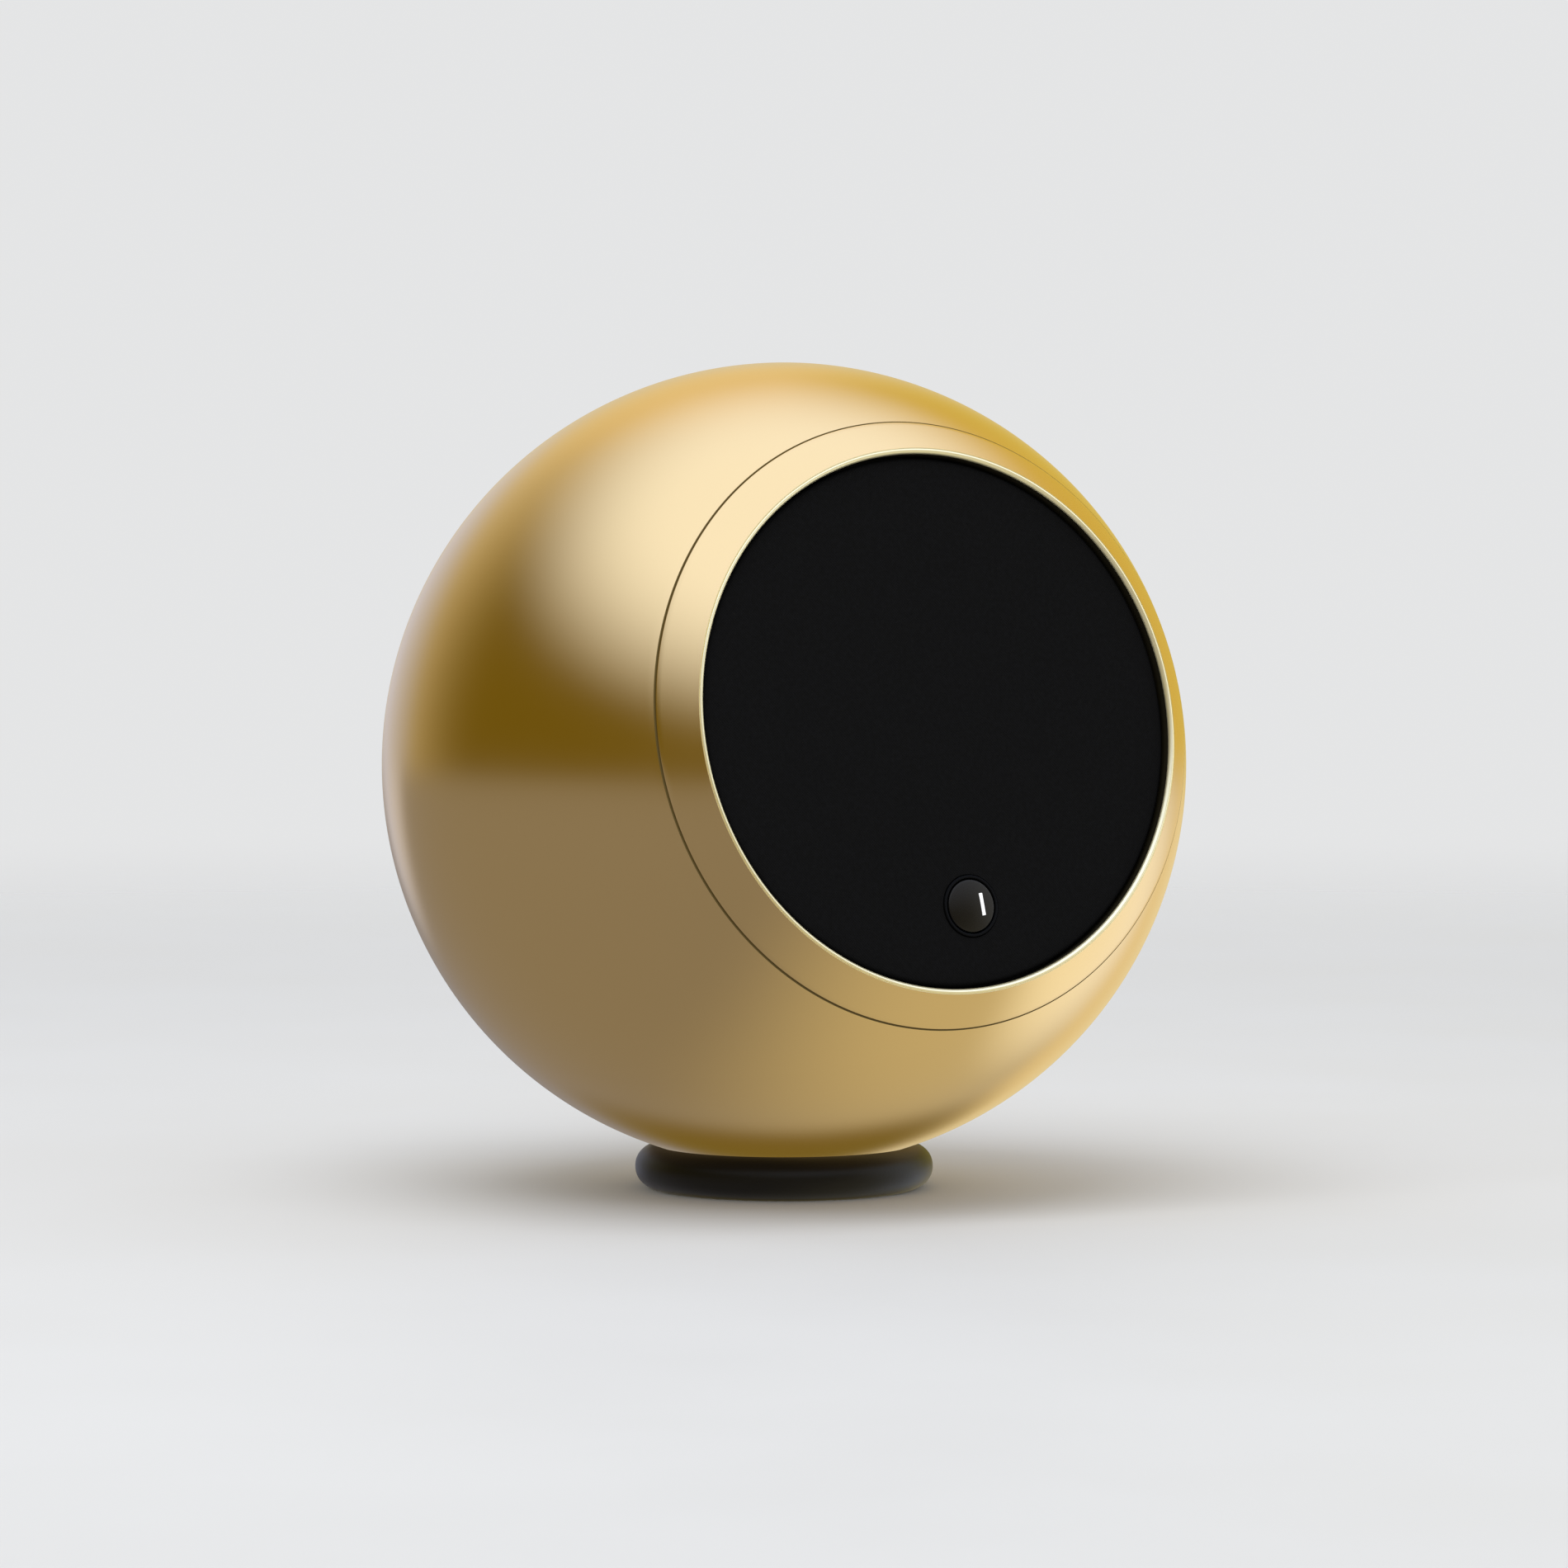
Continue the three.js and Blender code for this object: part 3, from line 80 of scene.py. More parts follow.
# ---- Rubber foot ring ----
# A moulded black rubber ring with a rounded section. The ball rests on its inner shoulder, a steel
# disc and a slip ring sit inside it, and a grip pad closes its underside.
foot_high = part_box("foot_ring")[1]
pad_low, pad_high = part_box("foot_pad")
seat_low, seat_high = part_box("seat_ring")
shell_low, shell_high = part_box("ball_shell")
BALL_RADIUS = (shell_high.x - shell_low.x) / 2
SECTION_WIDTH = 8.0 * MM
SECTION_HEIGHT = 7.0 * MM
SECTION_SQUARENESS = 2.15
SECTION_FLAT = 0.12 * MM
SECTION_STEPS = 60
FOOT_FACETS = 192
SHOULDER_STEPS = 6
UNDERSIDE_EASE = 0.15 * MM
BORE_EASE = 0.2 * MM
RUBBER_TO_BALL = 0.04 * MM
SLIP_CLEARANCE = 0.3 * MM


def arc(radius, start, end, steps):
    """Points (radius, level) of a circle about the origin, with angles measured from its axis."""
    angles = [start + (end - start) * i / steps for i in range(steps + 1)]
    return [(radius * math.sin(a), radius * math.cos(a)) for a in angles]


def eased(corners, steps=5):
    """An outline of (radius, level, ease) corners, each rounded to its own ease radius."""
    points = []
    for i, corner in enumerate(corners):
        here = Vector(corner[:2])
        ease = corner[2] if len(corner) > 2 else 0
        if not ease:
            points.append(tuple(here))
            continue
        before = (Vector(corners[i - 1][:2]) - here).normalized()
        after = (Vector(corners[(i + 1) % len(corners)][:2]) - here).normalized()
        half = before.angle(after) / 2
        centre = here + (before + after).normalized() * (ease / math.sin(half))
        first = here + before * (ease / math.tan(half)) - centre
        turn = first.angle_signed(here + after * (ease / math.tan(half)) - centre)
        for k in range(steps + 1):
            spoke = first.copy()
            spoke.rotate(Matrix.Rotation(-turn * k / steps, 2))
            points.append(tuple(centre + spoke))
    return points


CRISP_ANGLE = math.radians(35)
ON_AXIS = 1e-7


def turned(name, outline, facets, place=Matrix.Identity(4)):
    """A closed outline of (radius, level) points turned about the local Z axis, set at place."""
    shape = bmesh.new()
    rings = []
    for radius, level in outline:
        if radius < ON_AXIS:
            rings.append([shape.verts.new((0, 0, level))])
            continue
        turns = [2 * math.pi * k / facets for k in range(facets)]
        rings.append([shape.verts.new((radius * math.cos(t), radius * math.sin(t), level)) for t in turns])
    for near, far in zip(rings, rings[1:] + rings[:1]):
        if len(near) == len(far) == 1:
            continue
        for k in range(facets):
            after = (k + 1) % facets
            if len(near) == 1:
                shape.faces.new((near[0], far[k], far[after]))
            elif len(far) == 1:
                shape.faces.new((near[k], far[0], near[after]))
            else:
                shape.faces.new((near[k], far[k], far[after], near[after]))
    bmesh.ops.recalc_face_normals(shape, faces=shape.faces)
    return finished(name, shape, place)


def smoothed(mesh):
    """Shades a mesh smoothly, but keeps its sharper edges crisp."""
    mesh.shade_smooth()
    mesh.set_sharp_from_angle(angle=CRISP_ANGLE)
    return mesh


def finished(name, shape, place=Matrix.Identity(4)):
    """Makes a smooth-shaded object, set at place, from a bmesh."""
    shape.transform(place)
    mesh = bpy.data.meshes.new(name)
    shape.to_mesh(mesh)
    shape.free()
    smoothed(mesh)
    piece = bpy.data.objects.new(name, mesh)
    bpy.context.scene.collection.objects.link(piece)
    return piece


def effect_group(name, inputs, outputs):
    """A shader node group with named float inputs and outputs."""
    group = bpy.data.node_groups.new(name, "ShaderNodeTree")
    for label, value in inputs.items():
        socket = group.interface.new_socket(name=label, in_out="INPUT", socket_type="NodeSocketFloat")
        socket.default_value = value
    for label in outputs:
        group.interface.new_socket(name=label, in_out="OUTPUT", socket_type="NodeSocketFloat")
    return group, group.nodes.new("NodeGroupInput"), group.nodes.new("NodeGroupOutput")


def node(tree, kind, settings=None, **inputs):
    """A node with its settings made and its inputs given values or linked to other sockets."""
    made = tree.nodes.new(kind)
    for setting, value in (settings or {}).items():
        setattr(made, setting, value)
    for label, value in inputs.items():
        key = int(label[1:]) if label[0] == "i" and label[1:].isdigit() else label.replace("_", " ")
        if isinstance(value, bpy.types.NodeSocket):
            tree.links.new(value, made.inputs[key])
        else:
            made.inputs[key].default_value = value
    return made


# Moulded skin: the fine pebble that a spark-eroded mould leaves, and broad patches of wear.
PEBBLE_STRENGTH = 0.6
PATCH_GLOSS = 0.05
moulded_skin, skin_in, skin_out = effect_group(
    "moulded_skin", {"Pebble Scale": 3500.0, "Patch Scale": 60.0}, ["Pebble", "Patches"])
place_on_piece = node(moulded_skin, "ShaderNodeTexCoord").outputs["Object"]
pebble = node(moulded_skin, "ShaderNodeTexNoise", Vector=place_on_piece,
              Scale=skin_in.outputs["Pebble Scale"], Detail=3.0, Roughness=0.55)
patches = node(moulded_skin, "ShaderNodeTexNoise", Vector=place_on_piece,
               Scale=skin_in.outputs["Patch Scale"], Detail=4.0, Roughness=0.6)
moulded_skin.links.new(pebble.outputs["Fac"], skin_out.inputs["Pebble"])
moulded_skin.links.new(patches.outputs["Fac"], skin_out.inputs["Patches"])


def spread(tree, value, low, high):
    """Maps the useful middle of a noise to the range from low to high."""
    return node(tree, "ShaderNodeMapRange", Value=value, From_Min=0.3, From_Max=0.7,
                To_Min=low, To_Max=high).outputs["Result"]


def two_colours(tree, mask, first, second):
    """The first colour where the mask is 0 and the second where it is 1."""
    mix = node(tree, "ShaderNodeMix", {"data_type": "RGBA"}, Factor=mask)
    mix.inputs[6].default_value = (*first, 1)
    mix.inputs[7].default_value = (*second, 1)
    return mix.outputs[2]


def moulded(name, dark, light, roughness, pebble_scale, pebble_depth, patch_scale=60.0, **constants):
    """A moulded or coated finish: two close colours in patches, uneven gloss and a fine pebble."""
    material = bpy.data.materials.new(name)
    material.use_nodes = True
    tree = material.node_tree
    shader = tree.nodes["Principled BSDF"]
    for label, value in constants.items():
        shader.inputs[label.replace("_", " ")].default_value = value
    skin = node(tree, "ShaderNodeGroup", {"node_tree": moulded_skin},
                Pebble_Scale=pebble_scale, Patch_Scale=patch_scale)
    tree.links.new(two_colours(tree, skin.outputs["Patches"], dark, light), shader.inputs["Base Color"])
    gloss = spread(tree, skin.outputs["Patches"], roughness - PATCH_GLOSS, roughness + PATCH_GLOSS)
    tree.links.new(gloss, shader.inputs["Roughness"])
    bump = node(tree, "ShaderNodeBump", Height=skin.outputs["Pebble"], Strength=PEBBLE_STRENGTH,
                Distance=pebble_depth)
    tree.links.new(bump.outputs["Normal"], shader.inputs["Normal"])
    return material


def dressed(piece, material, body, slot, *nodes):
    """Gives a new piece its material and its body, and hides the CAD nodes that it stands for. The slot is not
    used.
    """
    piece.data.materials.append(material)
    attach(piece, body)
    if nodes:
        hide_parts(*nodes)
    return piece


def under_ball(clearance, radius):
    """The height at which a point this far from the upright axis lies under the ball."""
    return ball_centre.z - math.sqrt((BALL_RADIUS + clearance) ** 2 - radius ** 2)


section_middle = foot_high.x - SECTION_WIDTH / 2
section_centre = SECTION_HEIGHT / 2 - SECTION_FLAT
slip_room = seat_high.x + SLIP_CLEARANCE
slip_floor = seat_low.z - SLIP_CLEARANCE
foot_bore = section_middle - SECTION_WIDTH / 2
pad_room = pad_high.x + SLIP_CLEARANCE
section = []
for step in range(-SECTION_STEPS, SECTION_STEPS + 1):
    angle = math.radians(90 * step / SECTION_STEPS)
    across = abs(math.cos(angle)) ** (2 / SECTION_SQUARENESS)
    up = math.copysign(abs(math.sin(angle)) ** (2 / SECTION_SQUARENESS), angle)
    radius = section_middle + SECTION_WIDTH / 2 * across
    height = max(0.0, section_centre + SECTION_HEIGHT / 2 * up)
    if height > under_ball(RUBBER_TO_BALL, radius):
        break
    section.append((radius, height))
contact = section[-1][0]
shoulder = [contact + (slip_room - contact) * i / SHOULDER_STEPS for i in range(1, SHOULDER_STEPS + 1)]
foot_outline = [
    (pad_room, 0, UNDERSIDE_EASE),
    *section,
    *[(radius, under_ball(RUBBER_TO_BALL, radius)) for radius in shoulder],
    (slip_room, slip_floor),
    (foot_bore, slip_floor, BORE_EASE),
    (foot_bore, pad_high.z + SLIP_CLEARANCE),
    (pad_room, pad_high.z + SLIP_CLEARANCE),
]
# The dark pieces reflect the cool diffuser overhead, and this tint brings that back to neutral.
WARM_REFLECTION = (1.0, 0.88, 0.64, 1.0)
rubber = moulded("ring_rubber", (0.0042, 0.0043, 0.0043), (0.0062, 0.0063, 0.0063), 0.42, 2600.0, 0.03 * MM,
                 Specular_IOR_Level=0.28, Specular_Tint=WARM_REFLECTION)
foot_ring = turned("rubber_foot_ring", eased(foot_outline), FOOT_FACETS)
dressed(foot_ring, rubber, "foot", "black_rubber", "foot_ring")

# ---- Grip pad and slip ring ----
# The grip pad is a die-cut disc of closed-cell foam, glued into the ring's underside. The slip ring is
# acetal, and the ball turns on it. Its hollow follows the ball.
pad_foam = moulded("grip_foam", (0.012, 0.012, 0.013), (0.022, 0.022, 0.024), 0.85, 1500.0, 0.12 * MM)
PAD_EASE = 0.2 * MM
PAD_FACETS = 128
pad_outline = [
    (0, pad_low.z),
    (pad_high.x, pad_low.z, PAD_EASE),
    (pad_high.x, pad_high.z),
    (0, pad_high.z),
]
grip_pad = turned("grip_pad", eased(pad_outline), PAD_FACETS)
dressed(grip_pad, pad_foam, "foot", "dark_foam", "foot_pad")

SLIP_THICKNESS = 1.2 * MM
SLIP_STEPS = 8
slip_inner = foot_bore + 2 * SLIP_CLEARANCE
slip_outer = seat_high.x
slip_radii = [slip_inner + (slip_outer - slip_inner) * i / SLIP_STEPS for i in range(SLIP_STEPS + 1)]
slip_top = [(radius, under_ball(SLIP_CLEARANCE, radius)) for radius in slip_radii]
slip_back = [(radius, height - SLIP_THICKNESS) for radius, height in reversed(slip_top)]
acetal = moulded("acetal", (0.10, 0.10, 0.105), (0.13, 0.13, 0.135), 0.35, 1800.0, 0.02 * MM)
slip_ring = turned("slip_ring", slip_top + slip_back, PAD_FACETS)
dressed(slip_ring, acetal, "seat", "grey_plastic", "seat_ring")

# ---- Ball shell ----
# A ball spun from one sheet of aluminium, finely satined on the lathe and anodised gold. Its front edge
# rolls in slightly and is turned in as a cup for the driver. Its back has an opening with a landing for
# the rear panel.
face_up = Vector((0, front_axis.z, -front_axis.y))
BALL_FRAME = Matrix.Translation(ball_centre) @ Matrix((
    (1, face_up.x, front_axis.x, 0),
    (0, face_up.y, front_axis.y, 0),
    (0, face_up.z, front_axis.z, 0),
    (0, 0, 0, 1),
))


def about_axis(node_name):
    """A CAD node's smallest and largest radius and its lowest and highest level on the ball's axis."""
    inverse = BALL_FRAME.inverted()
    points = [inverse @ vertex.co for vertex in frame["nodes"][node_name].data.vertices]
    radii = [math.hypot(point.x, point.y) for point in points]
    levels = [point.z for point in points]
    return min(radii), max(radii), min(levels), max(levels)


REAR_OPENING = 20.3 * MM
LANDING_BORE = 13.5 * MM
LANDING_LEVEL = -58.17 * MM
LANDING_THICKNESS = 1.6 * MM
SHELL_WALL = 2.0 * MM
MOUTH_RADIUS = 43.0 * MM
CUP_WALL = 1.8 * MM
CUP_DEPTH = 12.0 * MM
DRIVER_OPENING = 36.2 * MM
ROLL_WIDTH = 2.0 * MM
ROLL_DIP = 0.04 * MM
ROLL_STEPS = 12
SHELL_STEPS = 120
INSIDE_STEPS = 40
BALL_FACETS = 256
FRONT_EDGE_EASE = 0.15 * MM
REAR_EDGE_EASE = 0.25 * MM
OPENING_EASE = 0.3 * MM
CUP_OUTSIDE_EASE = 0.6 * MM
CUP_INSIDE_EASE = 0.5 * MM
MOUTH_EASE = 0.12 * MM
inner_radius = BALL_RADIUS - SHELL_WALL
mouth_level = math.sqrt(inner_radius ** 2 - MOUTH_RADIUS ** 2)
cup_outside = MOUTH_RADIUS + CUP_WALL
cup_floor = mouth_level - CUP_DEPTH
rolled_edge = []
for step in range(ROLL_STEPS + 1):
    along = ROLL_WIDTH * step / ROLL_STEPS
    angle = math.acos(mouth_level / BALL_RADIUS) + along / BALL_RADIUS
    reach = BALL_RADIUS - ROLL_DIP * (1 - along / ROLL_WIDTH) ** 2
    rolled_edge.append((reach * math.sin(angle), reach * math.cos(angle)))
shell_outside = arc(BALL_RADIUS, math.asin(rolled_edge[-1][0] / BALL_RADIUS),
                    math.pi - math.asin(REAR_OPENING / BALL_RADIUS), SHELL_STEPS)
shell_inside = arc(
    inner_radius, math.acos((LANDING_LEVEL + LANDING_THICKNESS) / inner_radius),
    math.asin(cup_outside / inner_radius), INSIDE_STEPS)
shell_outline = [
    (*rolled_edge[0], FRONT_EDGE_EASE),
    *rolled_edge[1:],
    *shell_outside[1:-1],
    (*shell_outside[-1], REAR_EDGE_EASE),
    (REAR_OPENING, LANDING_LEVEL),
    (LANDING_BORE, LANDING_LEVEL, OPENING_EASE),
    (LANDING_BORE, LANDING_LEVEL + LANDING_THICKNESS, OPENING_EASE),
    *shell_inside,
    (cup_outside, cup_floor - CUP_WALL, CUP_OUTSIDE_EASE),
    (DRIVER_OPENING, cup_floor - CUP_WALL, OPENING_EASE),
    (DRIVER_OPENING, cup_floor, OPENING_EASE),
    (MOUTH_RADIUS, cup_floor, CUP_INSIDE_EASE),
    (MOUTH_RADIUS, mouth_level, MOUTH_EASE),
]

# Satin turning: very fine lines that run round the axis the ball was spun on, and soft clouding.
LINE_WANDER = 0.6 * MM
LINE_STRENGTH = 0.35
LINE_GLOSS = 0.05
CLOUD_GLOSS = 0.015
CLOUD_SHADE = 0.965
satin_turning, turning_in, turning_out = effect_group(
    "satin_turning", {"Lines per Metre": 9000.0, "Cloud Scale": 28.0}, ["Lines", "Grain", "Clouds"])
on_piece = node(satin_turning, "ShaderNodeTexCoord").outputs["Object"]
from_centre = node(satin_turning, "ShaderNodeVectorMath", {"operation": "SUBTRACT"},
                   i0=on_piece, i1=tuple(ball_centre)).outputs["Vector"]
level = node(satin_turning, "ShaderNodeVectorMath", {"operation": "DOT_PRODUCT"},
             i0=from_centre, i1=tuple(front_axis)).outputs["Value"]
wander = node(satin_turning, "ShaderNodeTexNoise", Vector=from_centre, Scale=90.0, Detail=2.0)
wandering = node(satin_turning, "ShaderNodeMath", {"operation": "MULTIPLY_ADD"},
                 i0=wander.outputs["Fac"], i1=LINE_WANDER, i2=level).outputs["Value"]
line_place = node(satin_turning, "ShaderNodeMath", {"operation": "MULTIPLY"},
                  i0=wandering, i1=turning_in.outputs["Lines per Metre"]).outputs["Value"]
lines = node(satin_turning, "ShaderNodeTexNoise", {"noise_dimensions": "1D"}, W=line_place, Scale=1.0,
             Detail=2.0)
grain = node(satin_turning, "ShaderNodeTexNoise", Vector=from_centre, Scale=5200.0, Detail=2.0)
clouds = node(satin_turning, "ShaderNodeTexNoise", Vector=from_centre,
              Scale=turning_in.outputs["Cloud Scale"], Detail=4.0, Roughness=0.55)
satin_turning.links.new(lines.outputs["Fac"], turning_out.inputs["Lines"])
satin_turning.links.new(grain.outputs["Fac"], turning_out.inputs["Grain"])
satin_turning.links.new(clouds.outputs["Fac"], turning_out.inputs["Clouds"])


def turned_gold(name, colour, roughness, line_depth, grain_depth):
    """Gold anodised aluminium with a satin or bright turned finish."""
    material = bpy.data.materials.new(name)
    material.use_nodes = True
    tree = material.node_tree
    shader = tree.nodes["Principled BSDF"]
    shader.inputs["Metallic"].default_value = 1.0
    finish = node(tree, "ShaderNodeGroup", {"node_tree": satin_turning})
    shade = [tuple(part * share for part in colour) for share in (CLOUD_SHADE, 1.0)]
    tree.links.new(two_colours(tree, finish.outputs["Clouds"], *shade), shader.inputs["Base Color"])
    gloss = spread(tree, finish.outputs["Clouds"], roughness - CLOUD_GLOSS, roughness + CLOUD_GLOSS)
    streaked = node(tree, "ShaderNodeMath", {"operation": "MULTIPLY_ADD"},
                    i0=finish.outputs["Lines"], i1=LINE_GLOSS, i2=gloss).outputs["Value"]
    tree.links.new(streaked, shader.inputs["Roughness"])
    lined = node(tree, "ShaderNodeBump", Height=finish.outputs["Lines"], Strength=LINE_STRENGTH,
                 Distance=line_depth)
    grained = node(tree, "ShaderNodeBump", Height=finish.outputs["Grain"], Strength=LINE_STRENGTH,
                   Distance=grain_depth, Normal=lined.outputs["Normal"])
    tree.links.new(grained.outputs["Normal"], shader.inputs["Normal"])
    return material


SATIN_COLOUR = (0.80, 0.56, 0.235)
satin_gold = turned_gold("satin_gold_aluminium", SATIN_COLOUR, 0.18, 0.004 * MM, 0.004 * MM)
ball_shell = turned("spun_ball_shell", eased(shell_outline), BALL_FACETS, BALL_FRAME)
dressed(ball_shell, satin_gold, "ball", "satin_gold", "ball_shell")

# ---- Front bezel ----
# A turned aluminium ring in the same satin gold. It stands a little proud of the ball, its spigot holds
# it in the mouth, and a narrow lip round the cloth is cut bright with a diamond after anodising. The lip's
# pale cream colour is a painted highlight that keeps it bright all round. Its bore is dark olive, painted
# shade for the shade and the cloth's dark reflection inside the recess.
ledge_bore, _, spigot_end, _ = about_axis("front_bezel")
_, cloth_radius, cloth_low, cloth_face = about_axis("grille_cloth")
BEZEL_BORE = 40.9 * MM
BEZEL_PROUD = 0.86 * MM
LIP_WIDTH = 0.88 * MM
LIP_DROP = 0.35 * MM
LIP_CROWN = 0.16 * MM
LIP_THREAD = 0.12 * MM
LIP_STEP = 0.1 * MM
BRIGHT_DEPTH = 0.15 * MM
SPIGOT_RADIUS = 42.6 * MM
LEDGE_THICKNESS = 0.9 * MM
CLOTH_TO_LEDGE = 0.3 * MM
JOINT_GAP = 0.22 * MM
RIM_EASE = 0.18 * MM
LEDGE_EASE = 0.15 * MM
SPIGOT_EASE = 0.3 * MM
SPIGOT_LEAD_IN = 0.4 * MM
SPIGOT_ROOT_EASE = 0.2 * MM
FACE_STEPS = 6
LIP_STEPS = 12
bezel_rear = mouth_level + JOINT_GAP
bezel_sphere = BALL_RADIUS + BEZEL_PROUD
lip_outer = BEZEL_BORE + LIP_WIDTH
ledge_front = cloth_low - CLOTH_TO_LEDGE
bezel_face = arc(bezel_sphere, math.acos(bezel_rear / bezel_sphere), math.asin(lip_outer / bezel_sphere),
                 FACE_STEPS)
lip_level = bezel_face[-1][1]
lip_crown = []
for step in range(1, LIP_STEPS):
    share = step / LIP_STEPS
    bulge = LIP_CROWN * (1 - (2 * share - 1) ** 2)
    lip_crown.append((lip_outer - LIP_THREAD - (LIP_WIDTH - LIP_THREAD) * share,
                      lip_level - LIP_DROP * share ** 2 + bulge))
bezel_outline = [
    (*bezel_face[0], RIM_EASE),
    *bezel_face[1:],
    (lip_outer, lip_level - LIP_STEP),
    (lip_outer - LIP_THREAD, lip_level - LIP_STEP),
    *lip_crown,
    (BEZEL_BORE, lip_level - LIP_DROP - LIP_STEP),
    (BEZEL_BORE, ledge_front),
    (ledge_bore, ledge_front, LEDGE_EASE),
    (ledge_bore, ledge_front - LEDGE_THICKNESS, LEDGE_EASE),
    (BEZEL_BORE, ledge_front - LEDGE_THICKNESS),
    (BEZEL_BORE, spigot_end, SPIGOT_EASE),
    (SPIGOT_RADIUS, spigot_end, SPIGOT_LEAD_IN),
    (SPIGOT_RADIUS, bezel_rear, SPIGOT_ROOT_EASE),
]
# The lip is a real bright-cut ring, but its pale cream colour with a matt share below full metal is a painted
# highlight.
LIP_HIGHLIGHT_COLOUR = (1.0, 0.89, 0.53)
LIP_HIGHLIGHT_METALLIC = 0.75
lip_painted_highlight = turned_gold("diamond_cut_lip_painted_highlight", LIP_HIGHLIGHT_COLOUR, 0.30, 0.001 * MM, 0.001 * MM)
lip_painted_highlight.node_tree.nodes["Principled BSDF"].inputs["Metallic"].default_value = LIP_HIGHLIGHT_METALLIC
# Painted shade: the bore's dark olive stands in for the shade and the cloth's dark reflection inside the recess.
bore_painted_shade = moulded("bore_painted_shade", (0.010, 0.008, 0.003), (0.014, 0.011, 0.004), 0.6, 2000.0, 0.01 * MM,
                     Specular_IOR_Level=0.2)
front_bezel = turned("gold_front_bezel", eased(bezel_outline), BALL_FACETS, BALL_FRAME)
dressed(front_bezel, satin_gold, "ball", "satin_gold", "front_bezel")
front_bezel.data.materials.append(lip_painted_highlight)
front_bezel.data.materials.append(bore_painted_shade)
# Faces within the lip get the lip's painted highlight, and those deeper in the bore get the painted shade.
to_ball = BALL_FRAME.inverted()
for face in front_bezel.data.polygons:
    middle = to_ball @ face.center
    reach = math.hypot(middle.x, middle.y)
    if reach < lip_outer:
        face.material_index = 1 if middle.z > lip_level - LIP_DROP - BRIGHT_DEPTH else 2

# ---- Joint seal ----
# A flat ring of dark brown rubber is trapped under the bezel and closes the joint with the ball. Its rim
# stands in for the seam's fine shade line, so its dark colour there is painted shade.
SEAL_INNER = 46.15 * MM
SEAL_RIM = 46.755 * MM
SEAL_THICKNESS = 0.26 * MM
SEAL_CLEARANCE = 0.01 * MM
SEAL_EASE = 0.1 * MM
# Painted shade: the seal's dark colour draws the seam's fine shade line.
seal_rubber_painted_shade = moulded("seal_rubber_painted_shade", (0.100, 0.067, 0.016), (0.125, 0.084, 0.021), 0.7, 1800.0, 0.02 * MM,
                      Specular_IOR_Level=0.2)
seal_top = bezel_rear - SEAL_CLEARANCE
seal_outline = [
    (SEAL_INNER, seal_top),
    (SEAL_INNER, seal_top - SEAL_THICKNESS),
    (SEAL_RIM, seal_top - SEAL_THICKNESS, SEAL_EASE),
    (SEAL_RIM, seal_top, SEAL_EASE),
]
joint_seal = turned("joint_seal", eased(seal_outline), BALL_FACETS, BALL_FRAME)
dressed(joint_seal, seal_rubber_painted_shade, "ball", "black_rubber")

# ---- Grille plate and cloth ----
# A moulded plate with wide openings carries the front cloth, a black acoustic knit that is stretched
# flat and wrapped over the plate's edge. A punched hole in it lets the button through.
button_low, button_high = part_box("button_cap")
button_centre = to_ball @ ((button_low + button_high) / 2)
front_clock = math.atan2(button_centre.x, -button_centre.y)
BUTTON_FRAME = BALL_FRAME @ Matrix.Rotation(front_clock, 4, "Z") @ Matrix.Translation(
    (0, -math.hypot(button_centre.x, button_centre.y), 0))
CLOTH_SHOULDER = 0.8 * MM
CLOTH_THICKNESS = 0.35 * MM
BUTTON_HOLE = 4.85 * MM
CLOTH_STEPS = 12
CLOTH_FACETS = 192
OVERCUT = 1.0 * MM
CUT_STEPS = 3
CUT_ANGLE = math.radians(40)


def rod(name, radius, low, high, place, facets=64):
    """A plain round bar, used to cut holes."""
    return turned(name, [(0, low), (radius, low), (radius, high), (0, high)], facets, place)


def carved(piece, cutters, ease=0.0):
    """Cuts the cutters out of a piece, eases the new edges, and removes the cutters."""
    for cutter in cutters:
        cut = piece.modifiers.new("cut", "BOOLEAN")
        cut.operation = "DIFFERENCE"
        cut.solver = "EXACT"
        cut.object = cutter
    if ease:
        edges = piece.modifiers.new("ease", "BEVEL")
        edges.width = ease
        edges.segments = CUT_STEPS
        edges.limit_method = "ANGLE"
        edges.angle_limit = CUT_ANGLE
    bpy.context.view_layer.update()
    graph = bpy.context.evaluated_depsgraph_get()
    mesh = bpy.data.meshes.new_from_object(piece.evaluated_get(graph))
    piece.modifiers.clear()
    piece.data = smoothed(mesh)
    for cutter in cutters:
        bpy.data.objects.remove(cutter)
    return piece


cloth_top = [(cloth_radius * i / CLOTH_STEPS, cloth_face) for i in range(CLOTH_STEPS)]
cloth_outline = [
    *cloth_top,
    (cloth_radius, cloth_face, CLOTH_SHOULDER),
    (cloth_radius, cloth_low),
    (cloth_radius - CLOTH_THICKNESS, cloth_low),
    (cloth_radius - CLOTH_THICKNESS, cloth_face - CLOTH_THICKNESS, CLOTH_SHOULDER - CLOTH_THICKNESS),
    *[(radius, cloth_face - CLOTH_THICKNESS) for radius, _ in reversed(cloth_top)],
]
grille_cloth = turned("acoustic_front_cloth", eased(cloth_outline), CLOTH_FACETS, BALL_FRAME)
carved(grille_cloth, [rod("cutter", BUTTON_HOLE, cloth_low - OVERCUT, cloth_face + OVERCUT, BUTTON_FRAME)])

